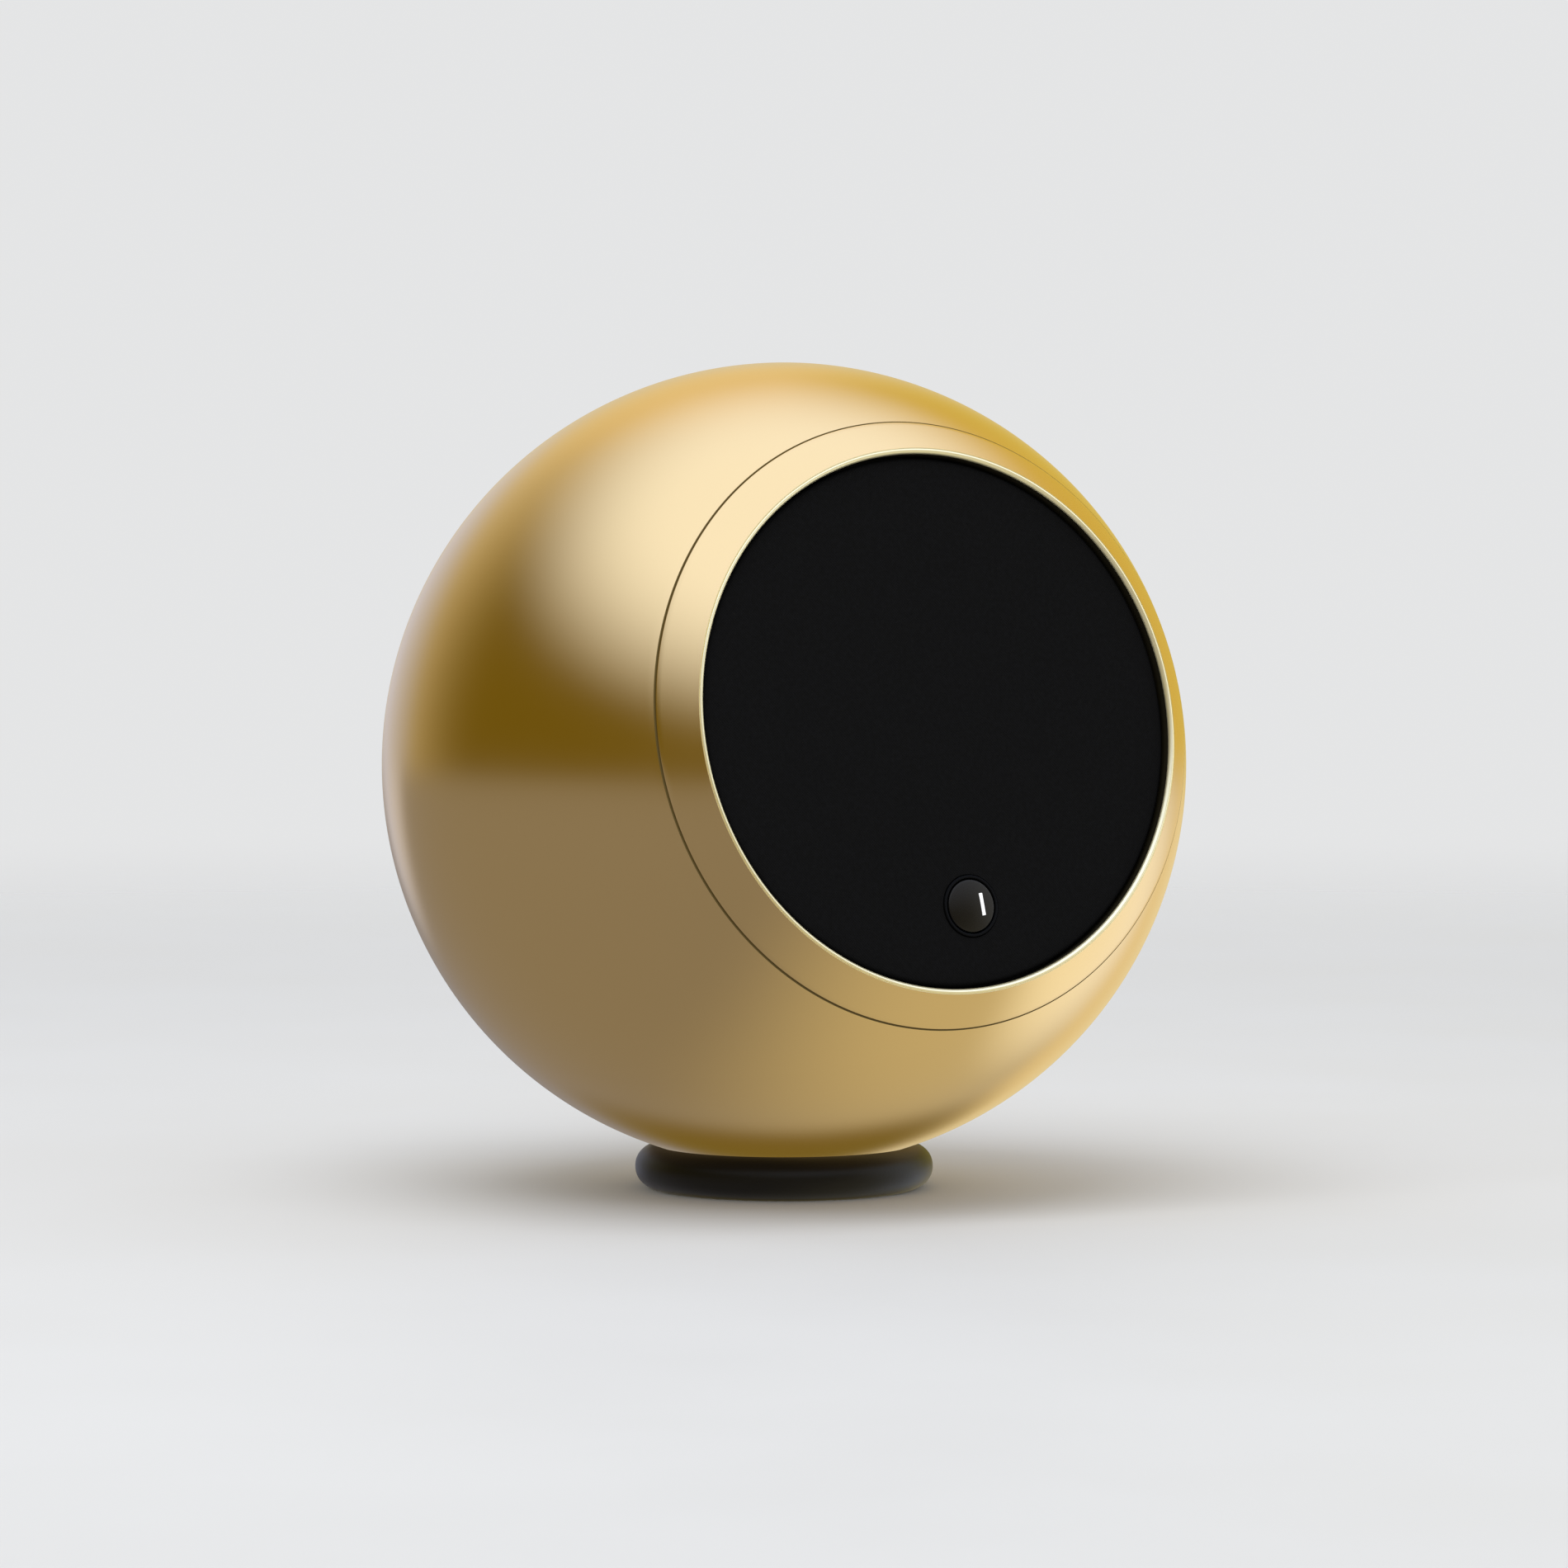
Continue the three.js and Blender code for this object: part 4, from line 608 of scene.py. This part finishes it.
# Knit: rows of small loops, raised where a thread passes over.
knit_rows, knit_in, knit_out = effect_group("knit_rows", {"Loops per Metre": 2200.0}, ["Loops", "Fuzz"])
knit_place = node(knit_rows, "ShaderNodeTexCoord").outputs["Object"]
ways = []
for direction in (Vector((1, 0, 0)), face_up):
    along = node(knit_rows, "ShaderNodeVectorMath", {"operation": "DOT_PRODUCT"},
                 i0=knit_place, i1=tuple(direction)).outputs["Value"]
    turns = node(knit_rows, "ShaderNodeMath", {"operation": "MULTIPLY"},
                 i0=along, i1=knit_in.outputs["Loops per Metre"]).outputs["Value"]
    wave = node(knit_rows, "ShaderNodeMath", {"operation": "MULTIPLY"}, i0=turns, i1=2 * math.pi)
    ripple = node(knit_rows, "ShaderNodeMath", {"operation": "SINE"}, i0=wave.outputs["Value"])
    ways.append(ripple.outputs["Value"])
crossing = node(knit_rows, "ShaderNodeMath", {"operation": "MULTIPLY"}, i0=ways[0], i1=ways[1])
loops = node(knit_rows, "ShaderNodeMapRange", Value=crossing.outputs["Value"], From_Min=-1.0, From_Max=1.0)
fuzz = node(knit_rows, "ShaderNodeTexNoise", Vector=knit_place, Scale=1600.0, Detail=3.0)
knit_rows.links.new(loops.outputs["Result"], knit_out.inputs["Loops"])
knit_rows.links.new(fuzz.outputs["Fac"], knit_out.inputs["Fuzz"])

black_knit = bpy.data.materials.new("black_acoustic_knit")
black_knit.use_nodes = True
knit_tree = black_knit.node_tree
knit_shader = knit_tree.nodes["Principled BSDF"]
knit_shader.inputs["Specular IOR Level"].default_value = 0.06
knit = node(knit_tree, "ShaderNodeGroup", {"node_tree": knit_rows})
knit_tree.links.new(
    two_colours(knit_tree, knit.outputs["Loops"], (0.0042, 0.0041, 0.0040), (0.0066, 0.0064, 0.0062)),
    knit_shader.inputs["Base Color"])
knit_tree.links.new(spread(knit_tree, knit.outputs["Fuzz"], 0.75, 0.95), knit_shader.inputs["Roughness"])
knit_bump = node(knit_tree, "ShaderNodeBump", Height=knit.outputs["Loops"], Strength=0.5,
                 Distance=0.05 * MM)
knit_tree.links.new(knit_bump.outputs["Normal"], knit_shader.inputs["Normal"])
dressed(grille_cloth, black_knit, "ball", "black_cloth", "grille_cloth")

# ---- Front button ----
# A small domed cap of dark satin plastic in a black collar, with a slim light bar set into it. It is
# pressed in 0.7 mm to start and stop the music, and the collar is clipped into the grille plate.
cap_low = about_axis("button_cap")[2]
CAP_RADIUS = 4.0 * MM
CAP_EDGE = cloth_face + 0.25 * MM
CAP_DOME = 0.4 * MM
CAP_PLATE = 1.25 * MM
STEM_RADIUS = 1.0 * MM
COLLAR_BORE = 4.25 * MM
COLLAR_RADIUS = 4.7 * MM
COLLAR_FLANGE = 6.2 * MM
LIGHT_OFFSET = 1.8 * MM
LIGHT_SIZE = (0.55 * MM, 3.4 * MM)
LIGHT_GAP = 0.08 * MM
LIGHT_PROUD = 0.02 * MM
LIGHT_EASE = 0.08 * MM
CAP_EASE = 0.18 * MM
COLLAR_EASE = 0.15 * MM
BUTTON_FACETS = 96
DOME_START = 0.9
DOME_STEPS = 6


def eased_block(name, size, low, high, centre, ease, place):
    """A block with rounded edges, between two levels."""
    shape = bmesh.new()
    bmesh.ops.create_cube(shape, size=1.0)
    bmesh.ops.scale(shape, vec=(size[0], size[1], high - low), verts=shape.verts)
    bmesh.ops.translate(shape, vec=(centre[0], centre[1], (low + high) / 2), verts=shape.verts)
    if ease:
        bmesh.ops.bevel(shape, geom=shape.edges[:], offset=ease, segments=3, profile=0.5, affect="EDGES")
    return finished(name, shape, place)


collar_low, collar_high = about_axis("button_collar")[2:]
collar_outline = [
    (COLLAR_BORE, collar_low),
    (COLLAR_FLANGE, collar_low),
    (COLLAR_FLANGE, ledge_front),
    (COLLAR_RADIUS, ledge_front),
    (COLLAR_RADIUS, collar_high, COLLAR_EASE),
    (COLLAR_BORE, collar_high, COLLAR_EASE),
]
collar_black = moulded("collar_black", (0.0022, 0.0022, 0.0022), (0.0032, 0.0032, 0.0032), 0.62, 2400.0,
                       0.01 * MM, Specular_IOR_Level=0.08)
collar = turned("button_collar_ring", eased(collar_outline), BUTTON_FACETS, BUTTON_FRAME)
dressed(collar, collar_black, "ball", "black_plastic", "button_collar")

dome_shares = [DOME_START * (DOME_STEPS - i) / DOME_STEPS for i in range(DOME_STEPS + 1)]
dome = [(CAP_RADIUS * share, CAP_EDGE + CAP_DOME * (1 - share ** 2)) for share in dome_shares]
cap_outline = [
    (0, cap_low),
    (STEM_RADIUS, cap_low),
    (STEM_RADIUS, CAP_EDGE - CAP_PLATE),
    (CAP_RADIUS, CAP_EDGE - CAP_PLATE),
    (CAP_RADIUS, CAP_EDGE, CAP_EASE),
    *dome,
]
cap_satin = moulded("button_satin", (0.0042, 0.0042, 0.0043), (0.0058, 0.0058, 0.0060), 0.26, 2200.0,
                    0.012 * MM, Specular_IOR_Level=0.30, Specular_Tint=WARM_REFLECTION)
button_cap = turned("front_button_cap", eased(cap_outline), BUTTON_FACETS, BUTTON_FRAME)
slot_width = LIGHT_SIZE[0] + 2 * LIGHT_GAP
slot_length = LIGHT_SIZE[1] + 2 * LIGHT_GAP
light_slot = eased_block("cutter", (slot_width, slot_length), CAP_EDGE - 2 * CAP_PLATE,
                         CAP_EDGE + CAP_PLATE, (LIGHT_OFFSET, 0), 0, BUTTON_FRAME)
carved(button_cap, [light_slot])
dressed(button_cap, cap_satin, "front_button", "black_plastic", "button_cap")

light_level = CAP_EDGE + CAP_DOME * (1 - (LIGHT_OFFSET / CAP_RADIUS) ** 2) + LIGHT_PROUD
light_bar = eased_block("status_light_bar", LIGHT_SIZE, CAP_EDGE - CAP_PLATE, light_level, (LIGHT_OFFSET, 0),
                        LIGHT_EASE, BUTTON_FRAME)
bar_light = moulded("diffused_light", (0.85, 0.87, 0.88), (0.92, 0.94, 0.95), 0.3, 900.0, 0.01 * MM,
                    Emission_Color=(1.0, 1.0, 1.0, 1.0), Emission_Strength=0.45)
dressed(light_bar, bar_light, "front_button", "clear_light", "button_light")

# ---- Rear panel ----
# A moulded plastic cap that closes the back of the ball, so that the radio is heard through it. It has
# a shallow recess with the power inlet and the pairing button, and three screws in wells.
PANEL_INSET = 0.2 * MM
PANEL_RADIUS = 20.0 * MM
RECESS_RADIUS = 12.0 * MM
PANEL_INSIDE = -59.168 * MM
RECESS_FACE = -60.968 * MM
SCREW_CIRCLE = 16.0 * MM
SCREW_WELL = 2.0 * MM
SCREW_SEAT = PANEL_INSIDE - 0.85 * MM
BUTTON_HEIGHT = 5.5 * MM
BUTTON_RADIUS = 2.4 * MM
INLET_HEIGHT = -4.5 * MM
INLET_SIZE = (8.94 * MM, 3.26 * MM)
INLET_HOLE = [side + 0.5 * MM for side in INLET_SIZE]
BUTTON_CLEARANCE = 0.2 * MM
RECESS_FLARE = 0.6 * MM
RECESS_EASE = 0.3 * MM
PANEL_EASE = 0.2 * MM
PANEL_CUT_EASE = 0.12 * MM
PANEL_STEPS = 8
PANEL_FACETS = 192
WELL_REACH = 8.0 * MM
SCREWS = 3
FIRST_SCREW_AT = 30
panel_sphere = BALL_RADIUS - PANEL_INSET
panel_skin = arc(panel_sphere, math.pi - math.asin((RECESS_RADIUS + RECESS_FLARE) / panel_sphere),
                 math.pi - math.asin(PANEL_RADIUS / panel_sphere), PANEL_STEPS)
panel_outline = [
    (0, RECESS_FACE),
    (RECESS_RADIUS, RECESS_FACE, RECESS_EASE),
    (*panel_skin[0], RECESS_EASE),
    *panel_skin[1:-1],
    (*panel_skin[-1], PANEL_EASE),
    (PANEL_RADIUS, PANEL_INSIDE),
    (0, PANEL_INSIDE),
]


def stadium(width, height, steps=12):
    """The outline of a slot with round ends."""
    end = height / 2
    points = []
    for side in (1, -1):
        for i in range(steps + 1):
            angle = math.pi * (i / steps - 0.5) + (0 if side > 0 else math.pi)
            points.append((side * (width / 2 - end) + end * math.cos(angle), end * math.sin(angle)))
    return points


def slot_bar(name, width, height, low, high, centre, place):
    """A bar with a slot-shaped section, between two levels."""
    shape = bmesh.new()
    ends = [
        [shape.verts.new((x + centre[0], y + centre[1], level)) for x, y in stadium(width, height)]
        for level in (low, high)
    ]
    shape.faces.new(ends[0])
    shape.faces.new(ends[1])
    for i in range(len(ends[0])):
        after = (i + 1) % len(ends[0])
        shape.faces.new((ends[0][i], ends[0][after], ends[1][after], ends[1][i]))
    bmesh.ops.recalc_face_normals(shape, faces=shape.faces)
    return finished(name, shape, place)


def screw_places():
    """The three rear screws, as offsets across the panel."""
    turns = [math.radians(FIRST_SCREW_AT + 360 / SCREWS * i) for i in range(SCREWS)]
    return [(SCREW_CIRCLE * math.cos(t), -SCREW_CIRCLE * math.sin(t)) for t in turns]


panel_plastic = moulded("panel_plastic", (0.010, 0.010, 0.0105), (0.014, 0.014, 0.0145), 0.5, 1500.0,
                        0.06 * MM)
rear_panel = turned("moulded_rear_panel", eased(panel_outline), PANEL_FACETS, BALL_FRAME)
wells = [
    rod("cutter", SCREW_WELL, PANEL_INSIDE - WELL_REACH, SCREW_SEAT,
        BALL_FRAME @ Matrix.Translation((x, y, 0)))
    for x, y in screw_places()
]
carved(rear_panel, [
    slot_bar("cutter", *INLET_HOLE, RECESS_FACE - OVERCUT, PANEL_INSIDE + OVERCUT, (0, INLET_HEIGHT),
             BALL_FRAME),
    rod("cutter", BUTTON_RADIUS + BUTTON_CLEARANCE, RECESS_FACE - OVERCUT, PANEL_INSIDE + OVERCUT,
        BALL_FRAME @ Matrix.Translation((0, BUTTON_HEIGHT, 0))),
    *wells,
], ease=PANEL_CUT_EASE)
dressed(rear_panel, panel_plastic, "ball", "black_plastic", "rear_panel")

# ---- Rear screws ----
# Three blackened steel machine screws with six-sided sockets. They hold the panel to the ball's landing,
# with their heads sunk in the panel's wells.
SCREW_HEAD = 1.6 * MM
SCREW_HEIGHT = 0.9 * MM
SOCKET = 0.68 * MM
SHANK = 0.8 * MM
SCREW_LENGTH = 7.5 * MM
SCREW_FACETS = 64
SHANK_EASE = 0.2 * MM
HEAD_EASE = 0.25 * MM
SEAT_CLEARANCE = 0.15 * MM
SOCKET_FLOOR = 0.4
screw_black = moulded("blackened_steel", (0.035, 0.035, 0.037), (0.055, 0.055, 0.058), 0.35, 1800.0,
                      0.02 * MM, Metallic=0.9)
seat = SCREW_SEAT - SEAT_CLEARANCE
head_top = seat - SCREW_HEIGHT
screw_outline = [
    (0, seat + SCREW_LENGTH),
    (SHANK, seat + SCREW_LENGTH, SHANK_EASE),
    (SHANK, seat),
    (SCREW_HEAD, seat),
    (SCREW_HEAD, head_top, HEAD_EASE),
    (0, head_top),
]
for number, (x, y) in enumerate(screw_places(), start=1):
    spot = BALL_FRAME @ Matrix.Translation((x, y, 0))
    rear_screw = turned(f"rear_socket_screw_{number}", eased(screw_outline), SCREW_FACETS, spot)
    socket = rod("cutter", SOCKET, head_top - OVERCUT, seat - SOCKET_FLOOR * SCREW_HEIGHT, spot, facets=6)
    carved(rear_screw, [socket])
    dressed(rear_screw, screw_black, "ball", "black_steel", f"rear_screw_{number}")

# ---- Power inlet ----
# A USB-C receptacle, soldered to its own small board behind the panel. It has a drawn steel shell with
# round ends, and a moulded tongue that carries two rows of gilt contacts.
inlet_back, inlet_front = about_axis("usb_c_inlet")[2:]
INLET_WALL = 0.3 * MM
INLET_END = 0.8 * MM
INLET_EASE = 0.08 * MM
TONGUE = (6.6 * MM, 0.7 * MM)
TONGUE_BACK = 0.9 * MM
TONGUE_FRONT = 0.85 * MM
TONGUE_EASE = 0.1 * MM
CONTACTS = 12
CONTACT_PITCH = 0.5 * MM
CONTACT_SIZE = (0.25 * MM, 0.04 * MM)
CONTACT_BACK = 1.2 * MM
CONTACT_FRONT = 4.0 * MM
CONTACT_PROUD = 0.015 * MM
bright_steel = moulded("drawn_steel", (0.50, 0.51, 0.52), (0.62, 0.63, 0.64), 0.28, 1500.0, 0.01 * MM,
                       Metallic=1.0)
inlet_shell = slot_bar("inlet_shell", *INLET_SIZE, inlet_back, inlet_front, (0, INLET_HEIGHT), BALL_FRAME)
shell_inside_size = [side - 2 * INLET_WALL for side in INLET_SIZE]
carved(inlet_shell, [
    slot_bar("cutter", *shell_inside_size, inlet_back - OVERCUT, inlet_front - INLET_END, (0, INLET_HEIGHT),
             BALL_FRAME),
], ease=INLET_EASE)
dressed(inlet_shell, bright_steel, "ball", "zinc_steel", "usb_c_inlet")
tongue = eased_block("inlet_tongue", TONGUE, inlet_back + TONGUE_BACK, inlet_front - TONGUE_FRONT,
                     (0, INLET_HEIGHT), TONGUE_EASE, BALL_FRAME)
dressed(tongue, collar_black, "ball", "black_plastic")
contact_gold = moulded("contact_gold", (0.72, 0.50, 0.20), (0.85, 0.62, 0.28), 0.25, 900.0, 0.005 * MM,
                       Metallic=1.0)
for row, side in (("upper", 1), ("lower", -1)):
    contact_height = INLET_HEIGHT + side * (TONGUE[1] / 2 + CONTACT_PROUD)
    for number in range(CONTACTS):
        across = (number - (CONTACTS - 1) / 2) * CONTACT_PITCH
        contact_pad = eased_block(
            f"inlet_contact_{row}_{number + 1}", CONTACT_SIZE, inlet_back + CONTACT_BACK,
            inlet_back + CONTACT_FRONT, (across, contact_height), 0, BALL_FRAME)
        dressed(contact_pad, contact_gold, "ball", "zinc_steel")

# ---- Pairing button ----
# A dark grey moulded cap with a shallow finger dish. Its flange holds it behind the panel, and its stem
# presses the pairing switch.
pair_low, pair_high = about_axis("pair_button")[2:]
FLANGE_CLEARANCE = 0.3 * MM
FLANGE_REACH = 1.0 * MM
FLANGE_THICKNESS = 0.7 * MM
PAIR_EASE = 0.25 * MM
DISH_DEPTH = 0.22 * MM
DISH_RADIUS = 0.8 * BUTTON_RADIUS
DISH_STEPS = 4
flange_face = PANEL_INSIDE + FLANGE_CLEARANCE
dish_shares = [i / DISH_STEPS for i in range(DISH_STEPS)]
dish = [(DISH_RADIUS * share, pair_low + DISH_DEPTH * (1 - share ** 2)) for share in dish_shares]
pair_outline = [
    *dish,
    (DISH_RADIUS, pair_low),
    (BUTTON_RADIUS, pair_low, PAIR_EASE),
    (BUTTON_RADIUS, flange_face),
    (BUTTON_RADIUS + FLANGE_REACH, flange_face),
    (BUTTON_RADIUS + FLANGE_REACH, flange_face + FLANGE_THICKNESS),
    (STEM_RADIUS, flange_face + FLANGE_THICKNESS),
    (STEM_RADIUS, pair_high),
    (0, pair_high),
]
pair_grey = moulded("pairing_grey", (0.040, 0.040, 0.042), (0.052, 0.052, 0.054), 0.42, 1600.0, 0.03 * MM)
pair_button = turned("pairing_button_cap", eased(pair_outline), BUTTON_FACETS,
                     BALL_FRAME @ Matrix.Translation((0, BUTTON_HEIGHT, 0)))
dressed(pair_button, pair_grey, "rear_button", "grey_plastic", "pair_button")

# ---- Driver, electronics and other inner pieces ----
# Pressed steel, ferrite, pressed paper, woven cloth, fibreglass boards and plated fasteners. They keep
# their shapes, and each kind gets its own finish.
# Each row gives the dark and light colours, the roughness, the pebble's scale, its depth in millimetres
# and what else the finish needs.
INNER_FINISHES = {
    "zinc_steel": ((0.42, 0.43, 0.44), (0.56, 0.57, 0.58), 0.34, 700.0, 0.02, {"Metallic": 1.0}),
    "black_steel": ((0.018, 0.018, 0.020), (0.030, 0.030, 0.033), 0.42, 900.0, 0.05, {}),
    "ferrite": ((0.030, 0.030, 0.033), (0.050, 0.050, 0.055), 0.65, 500.0, 0.08, {}),
    "paper_cone": ((0.014, 0.014, 0.015), (0.026, 0.026, 0.028), 0.90, 420.0, 0.15, {}),
    "spider_cloth": ((0.42, 0.27, 0.10), (0.55, 0.37, 0.15), 0.90, 1300.0, 0.12, {}),
    "dark_foam": ((0.012, 0.012, 0.013), (0.022, 0.022, 0.024), 0.90, 900.0, 0.15, {}),
    "wadding": ((0.62, 0.61, 0.57), (0.78, 0.77, 0.73), 0.98, 260.0, 0.60, {}),
    "green_board": ((0.010, 0.060, 0.032), (0.018, 0.090, 0.048), 0.38, 800.0, 0.03, {}),
    "copper": ((0.50, 0.22, 0.10), (0.68, 0.33, 0.16), 0.30, 2400.0, 0.04, {"Metallic": 1.0}),
    "black_rubber": ((0.010, 0.010, 0.010), (0.016, 0.016, 0.016), 0.60, 1100.0, 0.05, {}),
    "black_plastic": ((0.012, 0.012, 0.012), (0.018, 0.018, 0.018), 0.48, 1200.0, 0.05, {}),
    "grey_plastic": ((0.040, 0.040, 0.043), (0.055, 0.055, 0.058), 0.50, 1200.0, 0.04, {}),
    "white_plastic": ((0.55, 0.55, 0.53), (0.66, 0.66, 0.64), 0.45, 1200.0, 0.03, {}),
}
inner_materials = {
    slot: moulded(f"inner_{slot}", dark, light, roughness, pebble_scale, depth * MM, **constants)
    for slot, (dark, light, roughness, pebble_scale, depth, constants) in INNER_FINISHES.items()
}
slot_of = {row["node"]: row["material_slot"] for row in frame["record"]["subparts"]}
for name, cad_node in frame["nodes"].items():
    if not cad_node.hide_render:
        cad_node.data.materials.clear()
        cad_node.data.materials.append(inner_materials[slot_of[name]])

# ---- Studio floor ----
# A pale matt table top, which fades into the light surroundings. It is kept out of mirror reflections,
# where the room's own grey table takes its place.
FLOOR_RADIUS = 1.1
FADE_START = 0.25
floor_shape = bmesh.new()
bmesh.ops.create_circle(floor_shape, cap_ends=True, segments=96, radius=FLOOR_RADIUS)
floor = finished("studio_floor", floor_shape)
floor_paint = bpy.data.materials.new("pale_table")
floor_paint.use_nodes = True
floor_tree = floor_paint.node_tree
floor_shader = floor_tree.nodes["Principled BSDF"]
floor_shader.inputs["Specular IOR Level"].default_value = 0.2
floor_place = node(floor_tree, "ShaderNodeTexCoord").outputs["Object"]
floor_noise = node(floor_tree, "ShaderNodeTexNoise", Vector=floor_place, Scale=14.0, Detail=5.0)
floor_tree.links.new(
    two_colours(floor_tree, floor_noise.outputs["Fac"], (0.66, 0.665, 0.67), (0.70, 0.705, 0.71)),
    floor_shader.inputs["Base Color"])
floor_gloss = spread(floor_tree, floor_noise.outputs["Fac"], 0.6, 0.7)
floor_tree.links.new(floor_gloss, floor_shader.inputs["Roughness"])
floor_reach = node(floor_tree, "ShaderNodeVectorMath", {"operation": "LENGTH"},
                   i0=floor_place).outputs["Value"]
floor_fade = node(floor_tree, "ShaderNodeMapRange", {"interpolation_type": "SMOOTHSTEP"}, Value=floor_reach,
                  From_Min=FADE_START, From_Max=FLOOR_RADIUS, To_Min=1.0, To_Max=0.0).outputs["Result"]
floor_tree.links.new(floor_fade, floor_shader.inputs["Alpha"])
floor.data.materials.append(floor_paint)
floor.visible_glossy = False

# ---- Studio lights ----
# A large soft box over the speaker gives the soft shadow. Mirror reflections see a painted room instead of
# the plain one: a wide diffuser overhead, a dark wall around the camera, warm and pale walls behind the
# speaker, a bright panel on the right, and a grey table with lit and shaded patches.
camera_right = Vector((math.cos(CAMERA_AZIMUTH), math.sin(CAMERA_AZIMUTH), 0))
camera_back = Vector((math.sin(CAMERA_AZIMUTH), -math.cos(CAMERA_AZIMUTH), 0))


def direction(azimuth, elevation):
    """A direction by degrees to the right of the camera's side of the ball, and degrees up."""
    turn, rise = math.radians(azimuth), math.radians(elevation)
    level_part = camera_back * math.cos(turn) + camera_right * math.sin(turn)
    return level_part * math.cos(rise) + Vector((0, 0, math.sin(rise)))


KEY_SIZE = 0.8
KEY_POWER = 4.5
KEY_DISTANCE = 0.9
key_light = bpy.data.lights.new("overhead_box", "AREA")
key_light.shape = "SQUARE"
key_light.size = KEY_SIZE
key_light.energy = KEY_POWER
overhead_box = bpy.data.objects.new("overhead_box", key_light)
overhead_box.location = ball_centre + direction(-25, 72) * KEY_DISTANCE
overhead_box.rotation_euler = (ball_centre - overhead_box.location).to_track_quat("-Z", "Y").to_euler()
overhead_box.visible_camera = False
overhead_box.visible_glossy = False
bpy.context.scene.collection.objects.link(overhead_box)

# The foot's pieces are kept out of mirror reflections. The ball would otherwise mirror them as a dark band
# above the ring, so this is a choice of staging and not how the real metal behaves.
for low_piece in (foot_ring, grip_pad, slip_ring, frame["nodes"]["foot_weight"]):
    low_piece.visible_glossy = False

room = bpy.data.worlds.new("studio_room")
bpy.context.scene.world = room
room.use_nodes = True
room_tree = room.node_tree
room_tree.nodes.clear()
look = node(room_tree, "ShaderNodeTexCoord").outputs["Generated"]
flat_look = node(room_tree, "ShaderNodeVectorMath", {"operation": "MULTIPLY"}, i0=look, i1=(1, 1, 0))
level_look = node(room_tree, "ShaderNodeVectorMath", {"operation": "NORMALIZE"},
                  i0=flat_look.outputs["Vector"]).outputs["Vector"]
height = node(room_tree, "ShaderNodeSeparateXYZ", Vector=look).outputs["Z"]


def softly(value, low, high):
    """0 at the low value and 1 at the high one, with a smooth change between them."""
    return node(room_tree, "ShaderNodeMapRange", {"interpolation_type": "SMOOTHSTEP"}, Value=value,
                From_Min=low, From_Max=high).outputs["Result"]


def near(azimuth, elevation, inner, outer):
    """1 within inner degrees of a direction, and 0 beyond outer degrees."""
    dot = node(room_tree, "ShaderNodeVectorMath", {"operation": "DOT_PRODUCT"},
               i0=look, i1=tuple(direction(azimuth, elevation))).outputs["Value"]
    return softly(dot, math.cos(math.radians(outer)), math.cos(math.radians(inner)))


def on_side(azimuth, inner, outer):
    """1 within inner degrees of a compass side, at any height, and 0 beyond outer degrees."""
    dot = node(room_tree, "ShaderNodeVectorMath", {"operation": "DOT_PRODUCT"},
               i0=level_look, i1=tuple(direction(azimuth, 0))).outputs["Value"]
    return softly(dot, math.cos(math.radians(outer)), math.cos(math.radians(inner)))


def above(low, high):
    """0 below the low elevation and 1 above the high one."""
    return softly(height, math.sin(math.radians(low)), math.sin(math.radians(high)))


def painted(mask, under, colour):
    """Lays a colour over another one where the mask is 1."""
    mix = node(room_tree, "ShaderNodeMix", {"data_type": "RGBA"}, Factor=mask)
    for slot_number, shade in ((6, under), (7, colour)):
        if isinstance(shade, bpy.types.NodeSocket):
            room_tree.links.new(shade, mix.inputs[slot_number])
        else:
            mix.inputs[slot_number].default_value = (*shade, 1)
    return mix.outputs[2]


# Each zone is placed by its direction and by where its edge starts and ends to fade, all in degrees.
BACK_WALL = (0.77, 0.70, 0.50)
UPPER_BACK = (0.94, 0.79, 0.44)
PALE_PANEL = (0.70, 0.73, 0.92)
WARM_WALL = (0.76, 0.61, 0.13)
DARK_WALL = (0.185, 0.138, 0.0)
RIGHT_PANEL = (1.18, 1.26, 1.45)
DIFFUSER = (1.25, 1.45, 2.15)
TABLE = (0.325, 0.315, 0.335)
TABLE_FRONT = (0.70, 0.68, 0.58)
TABLE_PATCH = (1.20, 1.28, 1.45)
TABLE_BEHIND = (0.92, 0.80, 0.48)
UNDER_BALL = (0.22, 0.165, 0.03)
PLAIN_ROOM = (0.78, 0.785, 0.79, 1)
walls = painted(near(180, 42, 10, 32), BACK_WALL, UPPER_BACK)
walls = painted(near(-152, 2, 6, 24), walls, PALE_PANEL)
walls = painted(on_side(150, 14, 32), walls, WARM_WALL)
walls = painted(on_side(-30, 66, 142), walls, DARK_WALL)
walls = painted(on_side(99, 14, 38), walls, RIGHT_PANEL)
upper = painted(near(20, 75, 27, 72), walls, DIFFUSER)
table = painted(near(95, -30, 20, 85), TABLE, TABLE_FRONT)
table = painted(near(-152, -2, 4, 14), table, PALE_PANEL)
table = painted(near(161, -13, 8, 25), table, TABLE_BEHIND)
table = painted(near(119, -21, 12, 33), table, TABLE_PATCH)
lower = painted(near(180, -38, 8, 21), table, UNDER_BALL)
surroundings = painted(above(-5.0, 0.0), lower, upper)
lit = node(room_tree, "ShaderNodeBackground", Color=surroundings, Strength=1.0)
plain = node(room_tree, "ShaderNodeBackground", Color=PLAIN_ROOM, Strength=1.0)
mirrored = node(room_tree, "ShaderNodeLightPath").outputs["Is Glossy Ray"]
chosen = node(room_tree, "ShaderNodeMixShader", i0=mirrored, i1=plain.outputs[0], i2=lit.outputs[0])
node(room_tree, "ShaderNodeOutputWorld", Surface=chosen.outputs[0])
